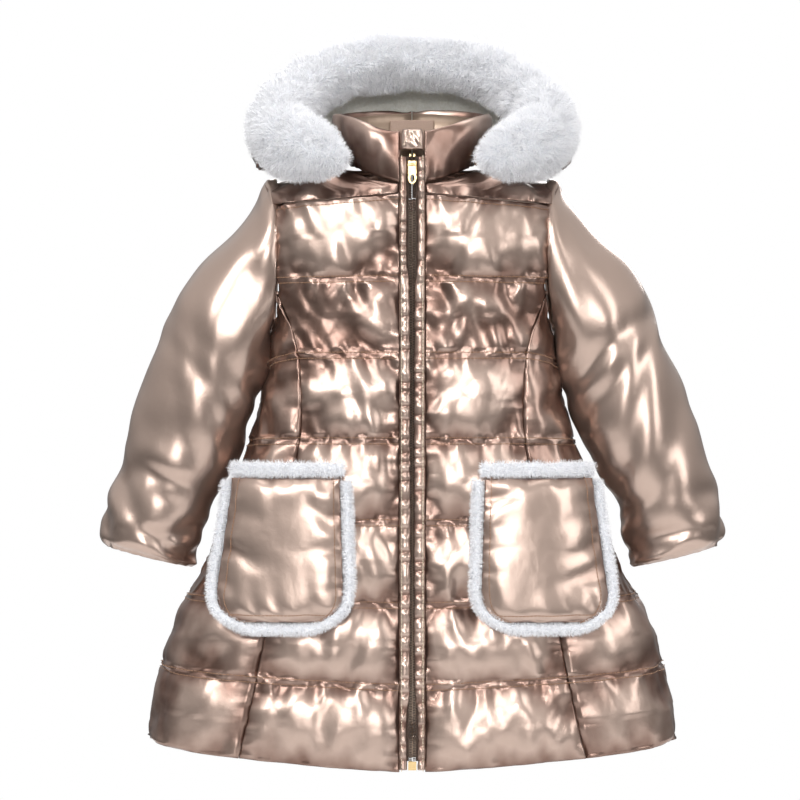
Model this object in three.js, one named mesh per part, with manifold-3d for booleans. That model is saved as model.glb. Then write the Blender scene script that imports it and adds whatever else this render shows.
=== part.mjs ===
// A child's quilted coat with a fur-trimmed hood, held upright by the hanger loop at its back neck.
// Millimetres, +Z up. The front faces -Y and the wearer's left is +X. Heights in this file are measured
// from the lowest point of the hem; the last lines move the whole coat so the hanger loop is the origin.
import * as THREE from "three";
import { mergeVertices } from "three/addons/utils/BufferGeometryUtils.js";
import Module from "manifold-3d";

const wasm = await Module();
wasm.setup();

// ---- Driving dimensions -------------------------------------------------------------------------------

const SEAM = 0.6; // clearance left between neighbouring sewn pieces
const LAYER_GAP = 0.9; // clearance between a padded shell and the lining behind it
const LINING_GAP = 3.8; // the body lining hangs a little clear of the padding
const ARMHOLE_GAP = 3.2; // clearance between the body and the head of a sleeve
const WALL = 11; // padded shell: outer cloth and wadding
const LINING = 2; // lining cloth, drawn thicker than it is so that it stays a solid
const SQUARENESS = 3.2; // how flat the front and back are: 2 would be an ellipse

// Half width of the body at each height, hem to armpit.
const BODY_WIDTHS = [
  [0, 266],
  [40, 265],
  [100, 254],
  [165, 231],
  [195, 214],
  [265, 188],
  [325, 165],
  [400, 149],
  [435, 143],
];
const HEM_DEPTH = 86; // half depth of the body at the hem
const DEPTH_TAPER = 0.037; // half depth lost for each millimetre of height, so the zip line is straight
const HEM_RISE = 30; // the hem is higher at the side seams by this much

const ARMHOLE_LOW = 432;
const SHOULDER_HEIGHT = 585; // top of the armhole
const ARMHOLE_HALF_DEPTH = 52;
// Half width of the body along the armhole seam, armpit to shoulder tip.
const ARMHOLE_WIDTHS = [
  [432, 143],
  [455, 138],
  [500, 136],
  [557, 140],
  [585, 148],
];
// Half width at the princess seams, hem to armhole.
const PRINCESS_WIDTHS = [
  [0, 174],
  [60, 160],
  [145, 143],
  [325, 112],
  [409, 114],
  [452, 128],
  [470, 136],
];
const PRINCESS_TOP = 480; // where the princess seam has run into the armhole
const PANEL_TIP = 3; // width left at the top corner of a side panel
const YOKE_CENTRE = 570; // yoke seam at the zip
const YOKE_SIDE = 558; // yoke seam at the armhole

const NECK_HALF_WIDTH = 64;
const NECK_BACK_DEPTH = 50;
const NECK_FRONT_HEIGHT = 578;
const NECK_SIDE_HEIGHT = 598;
const NECK_BACK_HEIGHT = 602;

const PLACKET_EDGE = 12; // the front panels start this far from the zip line
const PLACKET_INNER = 5.6; // room for the slider between the two plackets
const ZIP_TOP = 604;
const ZIP_BOTTOM = 4;
const ZIP_SETBACK = 1.5; // the teeth lie this far behind the coat's front line
const TOOTH_INNER = 1.1;
const TOOTH_OUTER = 2.9;
const TOOTH_THICKNESS = 2.6;
const TAPE_THICKNESS = 1.2;
const SLIDER_HEIGHT = 600;
const SLIDER_LENGTH = 13;
const SLIDER_HALF_WIDTH = 4.8;
const SLIDER_PLATE = 1.4;
const SLIDER_WEB = 0.8;
const RUN_GAP = 0.4; // clearance between the slider and what it runs over
const PIN_RADIUS = 0.7;
const PIN_CLEARANCE = 0.3;
const PULL_LENGTH = 8; // from the pin to the top of the tab
const PULL_WIDTH = 8.5;
const TAB_HALF_HEIGHT = 6;
const TAB_RIM = 2.1;
const TAB_OVERLAP = 1.2;
const PULL_THICKNESS = 1.4;

const COLLAR_WALL = 12;
const COLLAR_TOP_HALF_WIDTH = 79;
const COLLAR_TOP_BACK_DEPTH = 51;
const COLLAR_FRONT_TOP = 629;
const COLLAR_SIDE_TOP = 650;
const COLLAR_BACK_TOP = 657;
const GARAGE_LOW = 610;
const GARAGE_HALF_WIDTH = 12;
const GARAGE_THICKNESS = 5;
const GARAGE_SINK = 1.5; // it is let into the collar by this much

const CUFF_FACING = 26; // depth of the facing turned inside each cuff
const SLEEVE_WALL = 11;
const CUFF_HALF_DEPTH = 40;
const SLEEVE_HALF_DEPTH = 50;
const SLEEVE_SET_BACK = 10; // the cuffs hang this far behind the middle of the body

const POCKET_LOW = 148;
const POCKET_HIGH = 289;
const POCKET_INNER_LOW = 66;
const POCKET_INNER_HIGH = 70;
const POCKET_OUTER_LOW = 191;
const POCKET_OUTER_HIGH = 166;
const POCKET_CORNER = 30;
const POCKET_HAND_ROOM = 11; // between the coat and the pocket's own cloth
const POCKET_WALL = 6;
const FUR_EDGE = 12; // width of the fur edging round a pocket
const FUR_STANDOFF = 3; // between the edging and the coat under it
const FUR_EDGE_TOP = 16;

const HOOD_SHELL = 5;
const HOOD_FLEECE = 3;
const HOOD_STRIP = 0.3; // share of the face edge taken by the centre strip
const FUR_TOP_RADIUS = 26;
const FUR_SIDE_RADIUS = 33;
const FUR_END_RADIUS = 25;

const LOOP_WIDTH = 44;
const LOOP_DROP = 14;
const LOOP_RADIUS = 2;
const LOOP_SEAT = 0.4; // clearance between the loop's ends and the lining they are sewn to
const LOOP_STANDOFF = 9; // free room behind the hanger loop
const LABEL_WIDTH = 44;
const LABEL_HEIGHT = 18;
const LABEL_THICKNESS = 0.8;
const LABEL_SEAT = 0.7; // the collar flares, so the label sits back against it

// ---- Helpers ------------------------------------------------------------------------------------------

const { lerp, degToRad } = THREE.MathUtils;
const coat = new THREE.Group();

// A smooth curve through a table of [position, value] rows, read at one position.
function readTable(table, at) {
  const last = table.length - 1;
  if (at <= table[0][0]) return table[0][1];
  if (at >= table[last][0]) return table[last][1];
  const row = table.findIndex((entry) => entry[0] > at) - 1;
  const slope = (k) => {
    const low = table[Math.max(k - 1, 0)];
    const high = table[Math.min(k + 1, last)];
    return (high[1] - low[1]) / (high[0] - low[0]);
  };
  const [x0, y0] = table[row];
  const [x1, y1] = table[row + 1];
  const span = x1 - x0;
  const t = (at - x0) / span;
  const blend = t * t * (3 - 2 * t);
  const leave = t * (1 - t) ** 2 * span * slope(row);
  const arrive = t * t * (t - 1) * span * slope(row + 1);
  return lerp(y0, y1, blend) + leave + arrive;
}

// Volume enclosed by an indexed surface; negative when its faces point inwards.
function signedVolume(positions, index) {
  const corner = (k) => new THREE.Vector3().fromArray(positions, 3 * index[k]);
  let sum = 0;
  for (let k = 0; k < index.length; k += 3) {
    sum += corner(k).dot(corner(k + 1).cross(corner(k + 2)));
  }
  return sum / 6;
}

// A closed solid skinned over a row of matching point loops. Each loop runs out along one face and back
// along the other, so its two halves pair up into the end caps. A ring has no ends to cap.
function loft(loops, isRing = false) {
  const size = loops[0].length;
  const positions = loops.flat().flatMap((point) => point.toArray());
  const index = [];
  const quad = (a, b, c, d) => index.push(a, b, c, a, c, d);
  const spans = isRing ? loops.length : loops.length - 1;
  for (let k = 0; k < spans; k++) {
    const here = k * size;
    const next = ((k + 1) % loops.length) * size;
    for (let i = 0; i < size; i++) {
      const j = (i + 1) % size;
      quad(here + i, here + j, next + j, next + i);
    }
  }
  if (!isRing) {
    const end = (loops.length - 1) * size;
    for (let i = 0; i < size / 2 - 1; i++) {
      const opposite = size - 1 - i;
      quad(opposite, opposite - 1, i + 1, i);
      quad(end + i, end + i + 1, end + opposite - 1, end + opposite);
    }
  }
  if (signedVolume(positions, index) < 0) index.reverse();
  const geometry = new THREE.BufferGeometry();
  geometry.setAttribute("position", new THREE.Float32BufferAttribute(positions, 3));
  geometry.setIndex(index);
  geometry.computeVertexNormals();
  return geometry;
}

// A padded or plain sheet over a grid: placeAt(across, up) gives { point, outward } for shares 0 to 1,
// and the sheet fills the depths from shallow to deep behind that surface.
function sheet(across, up, placeAt, shallow, deep) {
  const loops = [];
  for (let row = 0; row <= up; row++) {
    const places = [];
    for (let column = 0; column <= across; column++) {
      places.push(placeAt(column / across, row / up));
    }
    const face = (depth) =>
      places.map(({ point, outward }) => point.clone().addScaledVector(outward, -depth));
    loops.push([...face(shallow), ...face(deep).reverse()]);
  }
  return loft(loops);
}

// A tube of round section along a curve, with its radius read along it.
function furRoll(curve, radiusAt, steps, sides) {
  const loops = [];
  for (let step = 0; step <= steps; step++) {
    const share = step / steps;
    const middle = curve.getPoint(share);
    const along = curve.getTangent(share);
    const first = new THREE.Vector3(0, -0.6, 0.8).projectOnPlane(along).normalize();
    const second = along.clone().cross(first);
    const loop = [];
    for (let side = 0; side < sides; side++) {
      const turn = (2 * Math.PI * side) / sides;
      const spoke = first.clone().multiplyScalar(Math.cos(turn));
      spoke.addScaledVector(second, Math.sin(turn));
      loop.push(middle.clone().addScaledVector(spoke, radiusAt(share)));
    }
    loops.push(loop);
  }
  return loft(loops);
}

// Joins closed shapes that touch or overlap into one solid.
function joined(...geometries) {
  const solids = geometries.map((geometry) => {
    const bare = geometry.index ? geometry.toNonIndexed() : geometry.clone();
    bare.deleteAttribute("normal");
    bare.deleteAttribute("uv");
    const merged = mergeVertices(bare, 1e-4);
    const { array: vertProperties } = merged.getAttribute("position");
    const triVerts = new Uint32Array(merged.index.array);
    return new wasm.Manifold(new wasm.Mesh({ numProp: 3, vertProperties, triVerts }));
  });
  const whole = solids.reduce((sum, solid) => sum.add(solid)).getMesh();
  const geometry = new THREE.BufferGeometry();
  geometry.setAttribute("position", new THREE.BufferAttribute(whole.vertProperties, 3));
  geometry.setIndex(new THREE.BufferAttribute(whole.triVerts, 1));
  geometry.computeVertexNormals();
  return geometry;
}

function mirrored(side, vector) {
  vector.x *= side;
  return vector;
}

const FINISHES = {
  coated: { color: 0xc9b5a7, roughness: 0.32, metalness: 0.6 },
  lining: { color: 0xd9cdbf, roughness: 0.7, metalness: 0 },
  fur: { color: 0xf7f8fa, roughness: 1, metalness: 0 },
  fleece: { color: 0xf1efe8, roughness: 0.95, metalness: 0 },
  tape: { color: 0x6b4f42, roughness: 0.8, metalness: 0 },
  teeth: { color: 0x4a3a30, roughness: 0.4, metalness: 0.2 },
  zipMetal: { color: 0xe0cfae, roughness: 0.25, metalness: 1 },
  agedBrass: { color: 0x8a6f4d, roughness: 0.4, metalness: 1 },
};

function add(name, finish, geometry) {
  const mesh = new THREE.Mesh(geometry, new THREE.MeshStandardMaterial(FINISHES[finish]));
  mesh.name = name;
  coat.add(mesh);
  return mesh;
}

const HANDS = [
  ["left", 1],
  ["right", -1],
];

// ---- The body surface ---------------------------------------------------------------------------------

const ARMHOLE_MIDDLE = (SHOULDER_HEIGHT + ARMHOLE_LOW) / 2;
const ARMHOLE_HALF_HEIGHT = (SHOULDER_HEIGHT - ARMHOLE_LOW) / 2;

function halfDepth(height) {
  return HEM_DEPTH - DEPTH_TAPER * height;
}

// Half depth of the armhole opening at a height inside it.
function armholeDepth(height) {
  const share = THREE.MathUtils.clamp((height - ARMHOLE_MIDDLE) / ARMHOLE_HALF_HEIGHT, -1, 1);
  return ARMHOLE_HALF_DEPTH * Math.sqrt(1 - share * share);
}

// Half width of the section at a height. Within the armhole the section carries on past the seam, so
// that its front reaches the seam at the armhole's own depth.
function halfWidth(height) {
  if (height <= ARMHOLE_LOW) return readTable(BODY_WIDTHS, height);
  const reach = (armholeDepth(height) / halfDepth(height)) ** SQUARENESS;
  return readTable(ARMHOLE_WIDTHS, height) / (1 - reach) ** (1 / SQUARENESS);
}

// The turn round the body, from centre front, at which the section is this wide.
function turnAt(width, height) {
  const share = Math.min(width / halfWidth(height), 1) ** SQUARENESS;
  return share >= 1 ? Math.PI / 2 : Math.atan((share / (1 - share)) ** (1 / SQUARENESS));
}

function sideTurn(height) {
  if (height <= ARMHOLE_LOW) return Math.PI / 2;
  return turnAt(readTable(ARMHOLE_WIDTHS, height), height);
}

// A place on the outside of the body; facing is 1 at the front and -1 at the back.
function bodyPlace(turn, height, facing) {
  const across = Math.sin(turn);
  const forward = Math.cos(turn);
  const stretch = (Math.abs(across) ** SQUARENESS + Math.abs(forward) ** SQUARENESS) ** (1 / SQUARENESS);
  const width = halfWidth(height);
  const depth = halfDepth(height);
  const x = across / stretch;
  const y = forward / stretch;
  const point = new THREE.Vector3(width * x, -facing * depth * y, height);
  const outward = new THREE.Vector3(
    (Math.sign(x) * Math.abs(x) ** (SQUARENESS - 1)) / width,
    (-facing * Math.abs(y) ** (SQUARENESS - 1)) / depth,
    0,
  ).normalize();
  return { point, outward };
}

function hemHeight(turn) {
  return HEM_RISE * Math.abs(Math.sin(turn)) ** 1.5;
}

// The yoke seam is higher at the zip than at the armholes.
function yokeSeamHeight(turn) {
  const share = Math.min(Math.abs(Math.sin(turn) / Math.sin(sideTurn(YOKE_SIDE))), 1);
  return lerp(YOKE_CENTRE, YOKE_SIDE, share);
}

// Height of a level of the body's grid, 0 at the hem and 1 just under the yoke seam.
function gridHeight(turn, level) {
  return lerp(hemHeight(turn), yokeSeamHeight(turn) - SEAM, level);
}

// A panel of the body between two turns that depend on height. It stands on the hem and takes the lowest
// rows of the body's grid, so that every panel and lining has its corners at the same heights.
function bodyPanel(fromTurn, toTurn, facing, side, across, rows) {
  const placeAt = (share, rise) => {
    const level = (rise * rows) / BODY_ROWS;
    const start = fromTurn(YOKE_SIDE * level);
    const turn = lerp(start, toTurn(YOKE_SIDE * level), share);
    const place = bodyPlace(turn, gridHeight(turn, level), facing);
    return { point: mirrored(side, place.point), outward: mirrored(side, place.outward) };
  };
  return sheet(across, rows, placeAt, 0, WALL);
}

const princessTurn = (height, shift) =>
  Math.min(turnAt(readTable(PRINCESS_WIDTHS, height) + shift, height), sideTurn(height));
const seamTurn = (height) => SEAM / halfWidth(height);

// ---- Body: panels, yokes, lining, hem facing ----------------------------------------------------------

const PANEL_ACROSS = 4;
const BODY_ROWS = 14;
const SIDE_ROWS = 12; // the side panels end where the princess seam meets the armhole

const frontEdge = (height) => turnAt(PLACKET_EDGE + SEAM, height);
const tipTurn = (height) => sideTurn(height) - PANEL_TIP / halfWidth(height);
const frontPanelEnd = (height) =>
  height < PRINCESS_TOP
    ? Math.min(princessTurn(height, -SEAM / 2), tipTurn(height) - seamTurn(height))
    : sideTurn(height);
const sidePanelStart = (height) => Math.min(princessTurn(height, SEAM / 2), tipTurn(height));
const sidePanelEnd = (height) => sideTurn(height) - seamTurn(height) / 2;

for (const [hand, side] of HANDS) {
  const front = bodyPanel(frontEdge, frontPanelEnd, 1, side, PANEL_ACROSS, BODY_ROWS);
  add(`${hand}_front_panel`, "coated", front);
  for (const [name, facing] of [
    ["front", 1],
    ["back", -1],
  ]) {
    const panel = bodyPanel(sidePanelStart, sidePanelEnd, facing, side, PANEL_ACROSS, SIDE_ROWS);
    add(`${hand}_${name}_side_panel`, "coated", panel);
  }
}
const backEdge = (height) => -frontPanelEnd(height);
add("back_panel", "coated", bodyPanel(backEdge, frontPanelEnd, -1, 1, 2 * PANEL_ACROSS, BODY_ROWS));

// The lining follows the same places round the body as the panels in front of it: the first half of its
// columns lies behind the centre panel and the second half behind the side panel.
const LINING_DEPTH = WALL + LINING_GAP;
const liningEnd = (height) => sideTurn(height) - 2 * seamTurn(height);
function liningPlace(facing, side, startTurn) {
  return (across, rise) => {
    const level = YOKE_SIDE * rise;
    const split = Math.min(frontPanelEnd(level), liningEnd(level) - seamTurn(level));
    const turn =
      across < 0.5
        ? lerp(startTurn(level), split, 2 * across)
        : lerp(split, liningEnd(level), 2 * across - 1);
    const place = bodyPlace(turn, gridHeight(turn, rise), facing);
    return { point: mirrored(side, place.point), outward: mirrored(side, place.outward) };
  };
}
for (const [hand, side] of HANDS) {
  const placeAt = liningPlace(1, side, frontEdge);
  const lining = sheet(2 * PANEL_ACROSS, BODY_ROWS, placeAt, LINING_DEPTH, LINING_DEPTH + LINING);
  add(`${hand}_front_lining`, "lining", lining);
}
const backLiningPlace = (across, rise) => {
  const side = across < 0.5 ? -1 : 1;
  return liningPlace(-1, side, () => 0)(Math.abs(2 * across - 1), rise);
};
add(
  "back_lining",
  "lining",
  sheet(4 * PANEL_ACROSS, BODY_ROWS, backLiningPlace, LINING_DEPTH, LINING_DEPTH + LINING),
);

// The neck seam, from centre front (turn 0) round to centre back (turn pi), on one side.
function neckPoint(turn) {
  const atFront = turn < Math.PI / 2;
  const endHeight = atFront ? NECK_FRONT_HEIGHT : NECK_BACK_HEIGHT;
  const depth = atFront ? halfDepth(NECK_FRONT_HEIGHT) : NECK_BACK_DEPTH;
  const height = lerp(endHeight, NECK_SIDE_HEIGHT, Math.sin(turn) ** 2);
  return new THREE.Vector3(NECK_HALF_WIDTH * Math.sin(turn), -depth * Math.cos(turn), height);
}

// A yoke fills the four-sided gap between the yoke seam, the armhole, the shoulder seam and the neck.
function yokePlace(facing, side, edge, across, rise) {
  const seamPoint = (share) => {
    const width = lerp(edge, readTable(ARMHOLE_WIDTHS, YOKE_SIDE), share);
    const height = yokeSeamHeight(turnAt(width, YOKE_SIDE));
    return bodyPlace(turnAt(width, height), height, facing).point;
  };
  const neckStart = Math.asin(edge / NECK_HALF_WIDTH);
  const rowOfNeck = 0.3;
  const neckSide = (share) => {
    const turn = lerp(neckStart, Math.PI / 2, Math.max(0, (share - rowOfNeck) / (1 - rowOfNeck)));
    const neck = neckPoint(facing > 0 ? turn : Math.PI - turn);
    if (share >= rowOfNeck) return neck;
    return seamPoint(0).lerp(neck, share / rowOfNeck);
  };
  const lowAngle = Math.asin((YOKE_SIDE - ARMHOLE_MIDDLE) / ARMHOLE_HALF_HEIGHT);
  const armholeSide = (share) => {
    const angle = lerp(lowAngle, Math.PI / 2, share);
    const height = ARMHOLE_MIDDLE + ARMHOLE_HALF_HEIGHT * Math.sin(angle);
    const depth = ARMHOLE_HALF_DEPTH * Math.cos(angle);
    return new THREE.Vector3(readTable(ARMHOLE_WIDTHS, height), -facing * depth, height);
  };
  const shoulderPoint = (share) => neckSide(1).lerp(armholeSide(1), share);
  const point = seamPoint(across).multiplyScalar(1 - rise);
  point.addScaledVector(shoulderPoint(across), rise);
  point.addScaledVector(neckSide(rise), 1 - across);
  point.addScaledVector(armholeSide(rise), across);
  point.addScaledVector(seamPoint(0), -(1 - across) * (1 - rise));
  point.addScaledVector(seamPoint(1), -across * (1 - rise));
  point.addScaledVector(neckSide(1), -(1 - across) * rise);
  point.addScaledVector(armholeSide(1), -across * rise);
  const outward = new THREE.Vector3(0, -facing * (1 - rise), rise).normalize();
  point.y += -facing * SEAM * 0.5 * -rise;
  point.z += SEAM * (1 - rise);
  return { point: mirrored(side, point), outward: mirrored(side, outward) };
}

const YOKE_ACROSS = 5;
const YOKE_UP = 5;
for (const [hand, side] of HANDS) {
  for (const [name, facing, edge] of [
    ["front", 1, PLACKET_EDGE + SEAM],
    ["back", -1, SEAM / 2],
  ]) {
    const placeAt = (across, rise) =>
      yokePlace(facing, side, edge, across * (1 - SEAM / 70), rise * (1 - SEAM / 50));
    add(`${hand}_${name}_yoke`, "coated", sheet(YOKE_ACROSS, YOKE_UP, placeAt, 0, WALL));
  }
}

// The hem facing is one long band inside the lower edge, open at centre front. Its columns follow the
// lining's, from the left front round the back to the right front.
const HEM_FACING_HEIGHT = 34;
const hemFacingPlace = (across, rise) => {
  const side = across < 0.5 ? 1 : -1;
  const along = 4 * (side > 0 ? across : 1 - across);
  const facing = along <= 1 ? 1 : -1;
  const split = frontPanelEnd(0);
  const share = 2 * (facing > 0 ? along : 2 - along);
  const start = facing > 0 ? frontEdge(0) : 0;
  const turn = share < 1 ? lerp(start, split, share) : lerp(split, Math.PI / 2, share - 1);
  const place = bodyPlace(turn, hemHeight(turn) + 1 + rise * HEM_FACING_HEIGHT, facing);
  return { point: mirrored(side, place.point), outward: mirrored(side, place.outward) };
};
const hemDepth = LINING_DEPTH + LINING + 1.4 * LAYER_GAP;
const hemFacing = sheet(8 * PANEL_ACROSS, 1, hemFacingPlace, hemDepth, hemDepth + LINING);
add("hem_facing", "coated", hemFacing);

// ---- Zip ----------------------------------------------------------------------------------------------

// Everything on the zip line leans back with the coat's front.
const ZIP_LEAN = Math.atan(DEPTH_TAPER);
const zipLine = new THREE.Group();
zipLine.position.set(0, -HEM_DEPTH, 0);
zipLine.rotation.x = -ZIP_LEAN;
coat.add(zipLine);

// A straight strip on the zip line: from is its front, in millimetres behind the coat's front line.
function zipStrip(name, finish, xLow, xHigh, front, thickness, low, high) {
  const box = new THREE.BoxGeometry(xHigh - xLow, thickness, high - low);
  box.translate((xLow + xHigh) / 2, front + thickness / 2, (low + high) / 2);
  const mesh = add(name, finish, box);
  zipLine.add(mesh);
  return mesh;
}

const ZIP_TOUCH = 0.3; // seam between neighbouring pieces of the zip
const ZIP_BOX_HEIGHT = 8.5;
const BOX_HALF_WIDTH = 4;
const BOX_PROUD = 0.6; // the box stands this far in front of and behind the teeth
const PLACKET_PROUD = 1; // the placket's fold stands this far in front of the zip line
const STOP_HEIGHT = 3;
const TOOTH_BACK = ZIP_SETBACK + TOOTH_THICKNESS;
const TAPE_FRONT = ZIP_SETBACK + (TOOTH_THICKNESS - TAPE_THICKNESS) / 2;
for (const [hand, side] of HANDS) {
  const strip = (part, finish, inner, outer, front, thickness, low, high) => {
    const [xLow, xHigh] = side > 0 ? [inner, outer] : [-outer, -inner];
    return zipStrip(`${hand}_${part}`, finish, xLow, xHigh, front, thickness, low, high);
  };
  const toothLow = ZIP_BOTTOM + ZIP_BOX_HEIGHT + ZIP_TOUCH;
  strip("zip_teeth", "teeth", TOOTH_INNER, TOOTH_OUTER, ZIP_SETBACK, TOOTH_THICKNESS, toothLow, ZIP_TOP);
  const tapeInner = TOOTH_OUTER + ZIP_TOUCH;
  strip("zip_tape", "tape", tapeInner, PLACKET_EDGE, TAPE_FRONT, TAPE_THICKNESS, toothLow, ZIP_TOP);
  const placketDepth = TAPE_FRONT - ZIP_TOUCH + PLACKET_PROUD;
  strip("placket", "coated", PLACKET_INNER, PLACKET_EDGE, -PLACKET_PROUD, placketDepth, ZIP_BOTTOM, ZIP_TOP);
  const stopLow = ZIP_TOP + ZIP_TOUCH;
  const stopHigh = ZIP_TOP + STOP_HEIGHT;
  strip("zip_top_stop", "zipMetal", TOOTH_INNER, TOOTH_OUTER, ZIP_SETBACK, TOOTH_THICKNESS, stopLow, stopHigh);
}
const boxFront = ZIP_SETBACK - BOX_PROUD;
const boxDepth = TOOTH_THICKNESS + 2 * BOX_PROUD;
const boxTop = ZIP_BOTTOM + ZIP_BOX_HEIGHT;
zipStrip("zip_bottom_box", "zipMetal", -BOX_HALF_WIDTH, BOX_HALF_WIDTH, boxFront, boxDepth, ZIP_BOTTOM, boxTop);

// The slider: two plates joined by a web that runs between the rows of teeth, with two lugs and a pin.
const sliderFront = ZIP_SETBACK - RUN_GAP - SLIDER_PLATE;
const sliderBack = TOOTH_BACK + RUN_GAP + SLIDER_PLATE;
function sliderSection() {
  const plate = SLIDER_HALF_WIDTH;
  const web = SLIDER_WEB;
  const inFront = sliderFront + SLIDER_PLATE;
  const inBack = sliderBack - SLIDER_PLATE;
  const half = [
    [plate - 0.8, sliderFront],
    [plate, sliderFront + 0.7],
    [plate, inFront],
    [web, inFront],
    [web, inBack],
    [plate, inBack],
    [plate, sliderBack - 0.5],
    [plate - 0.8, sliderBack],
  ];
  const shape = new THREE.Shape();
  half.forEach(([x, y], k) => (k ? shape.lineTo(x, y) : shape.moveTo(x, y)));
  [...half].reverse().forEach(([x, y]) => shape.lineTo(-x, y));
  shape.closePath();
  return shape;
}
const sliderBody = new THREE.ExtrudeGeometry(sliderSection(), { depth: SLIDER_LENGTH, bevelEnabled: false });
sliderBody.translate(0, 0, SLIDER_HEIGHT - SLIDER_LENGTH);

// The bridge stands on the slider's front plate and carries the pull's pin.
const PIN_FORWARD = 2.2;
const pinY = sliderFront - PIN_FORWARD;
const pinZ = SLIDER_HEIGHT - 4;
const BRIDGE_HALF_WIDTH = 3.4;
const EYE_HALF_WIDTH = 1.9;
function bridgeGeometry() {
  const loops = [];
  const lug = 1.1;
  const inner = EYE_HALF_WIDTH + PIN_CLEARANCE;
  const sections = [
    [-BRIDGE_HALF_WIDTH, lug],
    [-inner, lug],
    [-inner, PIN_RADIUS],
    [inner, PIN_RADIUS],
    [inner, lug],
    [BRIDGE_HALF_WIDTH, lug],
  ];
  for (const [x, radius] of sections) {
    const loop = [];
    for (let k = 0; k < 8; k++) {
      const turn = degToRad(22.5 + 45 * k);
      const foot = radius === lug && Math.sin(turn) > 0 ? sliderFront + 0.3 : pinY + radius * Math.sin(turn);
      loop.push(new THREE.Vector3(x, foot, pinZ + radius * Math.cos(turn)));
    }
    loops.push(loop);
  }
  return loft(loops);
}
zipLine.add(add("zip_slider", "zipMetal", joined(sliderBody, bridgeGeometry())));

// The pull: an eye round the pin and a flat drop-shaped tab with an oval hole, cut as one outline.
function pullGeometry() {
  const eye = PIN_RADIUS + PIN_CLEARANCE;
  const shell = eye + 0.8;
  const outline = new THREE.Shape();
  outline.absarc(0, 0, shell, degToRad(-60), degToRad(240), false);
  outline.lineTo(-PULL_THICKNESS / 2, -PULL_LENGTH);
  outline.lineTo(PULL_THICKNESS / 2, -PULL_LENGTH);
  outline.closePath();
  const hole = new THREE.Path();
  hole.absarc(0, 0, eye, 0, 2 * Math.PI, true);
  outline.holes.push(hole);
  const stalk = new THREE.ExtrudeGeometry(outline, {
    depth: 2 * EYE_HALF_WIDTH,
    bevelEnabled: false,
    curveSegments: 10,
  });
  stalk.translate(0, 0, -EYE_HALF_WIDTH);
  // Profile drawn in (depth, height) is turned to lie across the zip.
  const upright = new THREE.Matrix4().makeBasis(
    new THREE.Vector3(0, 1, 0),
    new THREE.Vector3(0, 0, 1),
    new THREE.Vector3(1, 0, 0),
  );
  stalk.applyMatrix4(upright);
  return stalk;
}
const tabHalf = PULL_WIDTH / 2;
const tabOutline = new THREE.Shape();
tabOutline.absellipse(0, 0, tabHalf, TAB_HALF_HEIGHT, 0, 2 * Math.PI, false);
const tabHole = new THREE.Path();
tabHole.absellipse(0, -0.6, tabHalf - TAB_RIM, TAB_HALF_HEIGHT - TAB_RIM, 0, 2 * Math.PI, true);
tabOutline.holes.push(tabHole);
const tabGeometry = new THREE.ExtrudeGeometry(tabOutline, {
  depth: PULL_THICKNESS,
  bevelEnabled: false,
  curveSegments: 12,
});
tabGeometry.rotateX(Math.PI / 2);
tabGeometry.translate(0, PULL_THICKNESS / 2, -PULL_LENGTH + TAB_OVERLAP - TAB_HALF_HEIGHT);
const pull = add("zip_pull", "zipMetal", joined(pullGeometry(), tabGeometry));
pull.position.set(0, pinY, pinZ);
zipLine.add(pull);

const garageFront = GARAGE_SINK - GARAGE_THICKNESS;
const garageHigh = COLLAR_FRONT_TOP + 2;
zipStrip(
  "zip_garage",
  "coated",
  -GARAGE_HALF_WIDTH,
  GARAGE_HALF_WIDTH,
  garageFront,
  GARAGE_THICKNESS,
  GARAGE_LOW,
  garageHigh,
);

// ---- Collar -------------------------------------------------------------------------------------------

function collarPlace(side, across, rise) {
  const halfSpan = lerp(NECK_HALF_WIDTH, COLLAR_TOP_HALF_WIDTH, rise);
  const startTurn = Math.asin((PLACKET_EDGE + SEAM) / halfSpan);
  const turn = lerp(startTurn, Math.PI - 0.006, across);
  const base = neckPoint(turn);
  const atFront = turn < Math.PI / 2;
  const topHeight = lerp(atFront ? COLLAR_FRONT_TOP : COLLAR_BACK_TOP, COLLAR_SIDE_TOP, Math.sin(turn) ** 2);
  const topDepth = atFront ? halfDepth(COLLAR_FRONT_TOP) : COLLAR_TOP_BACK_DEPTH;
  const top = new THREE.Vector3(
    COLLAR_TOP_HALF_WIDTH * Math.sin(turn),
    -topDepth * Math.cos(turn),
    topHeight,
  );
  const bow = 3 * Math.sin(Math.PI * rise) * Math.sin(turn);
  const point = base.lerp(top, rise);
  const outward = new THREE.Vector3(Math.sin(turn), -Math.cos(turn), 0);
  point.addScaledVector(outward, bow);
  point.z += SEAM;
  return { point: mirrored(side, point), outward: mirrored(side, outward) };
}
for (const [hand, side] of HANDS) {
  const outer = (across, rise) => collarPlace(side, across, rise);
  const inner = (across, rise) => collarPlace(side, lerp(0.05, 1, across), lerp(0.02, 0.96, rise));
  add(`${hand}_collar`, "coated", sheet(12, 4, outer, 0, COLLAR_WALL));
  const liningStart = COLLAR_WALL + LAYER_GAP;
  add(`${hand}_collar_lining`, "coated", sheet(12, 3, inner, liningStart, liningStart + LINING));
}

// ---- Sleeves ------------------------------------------------------------------------------------------

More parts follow.
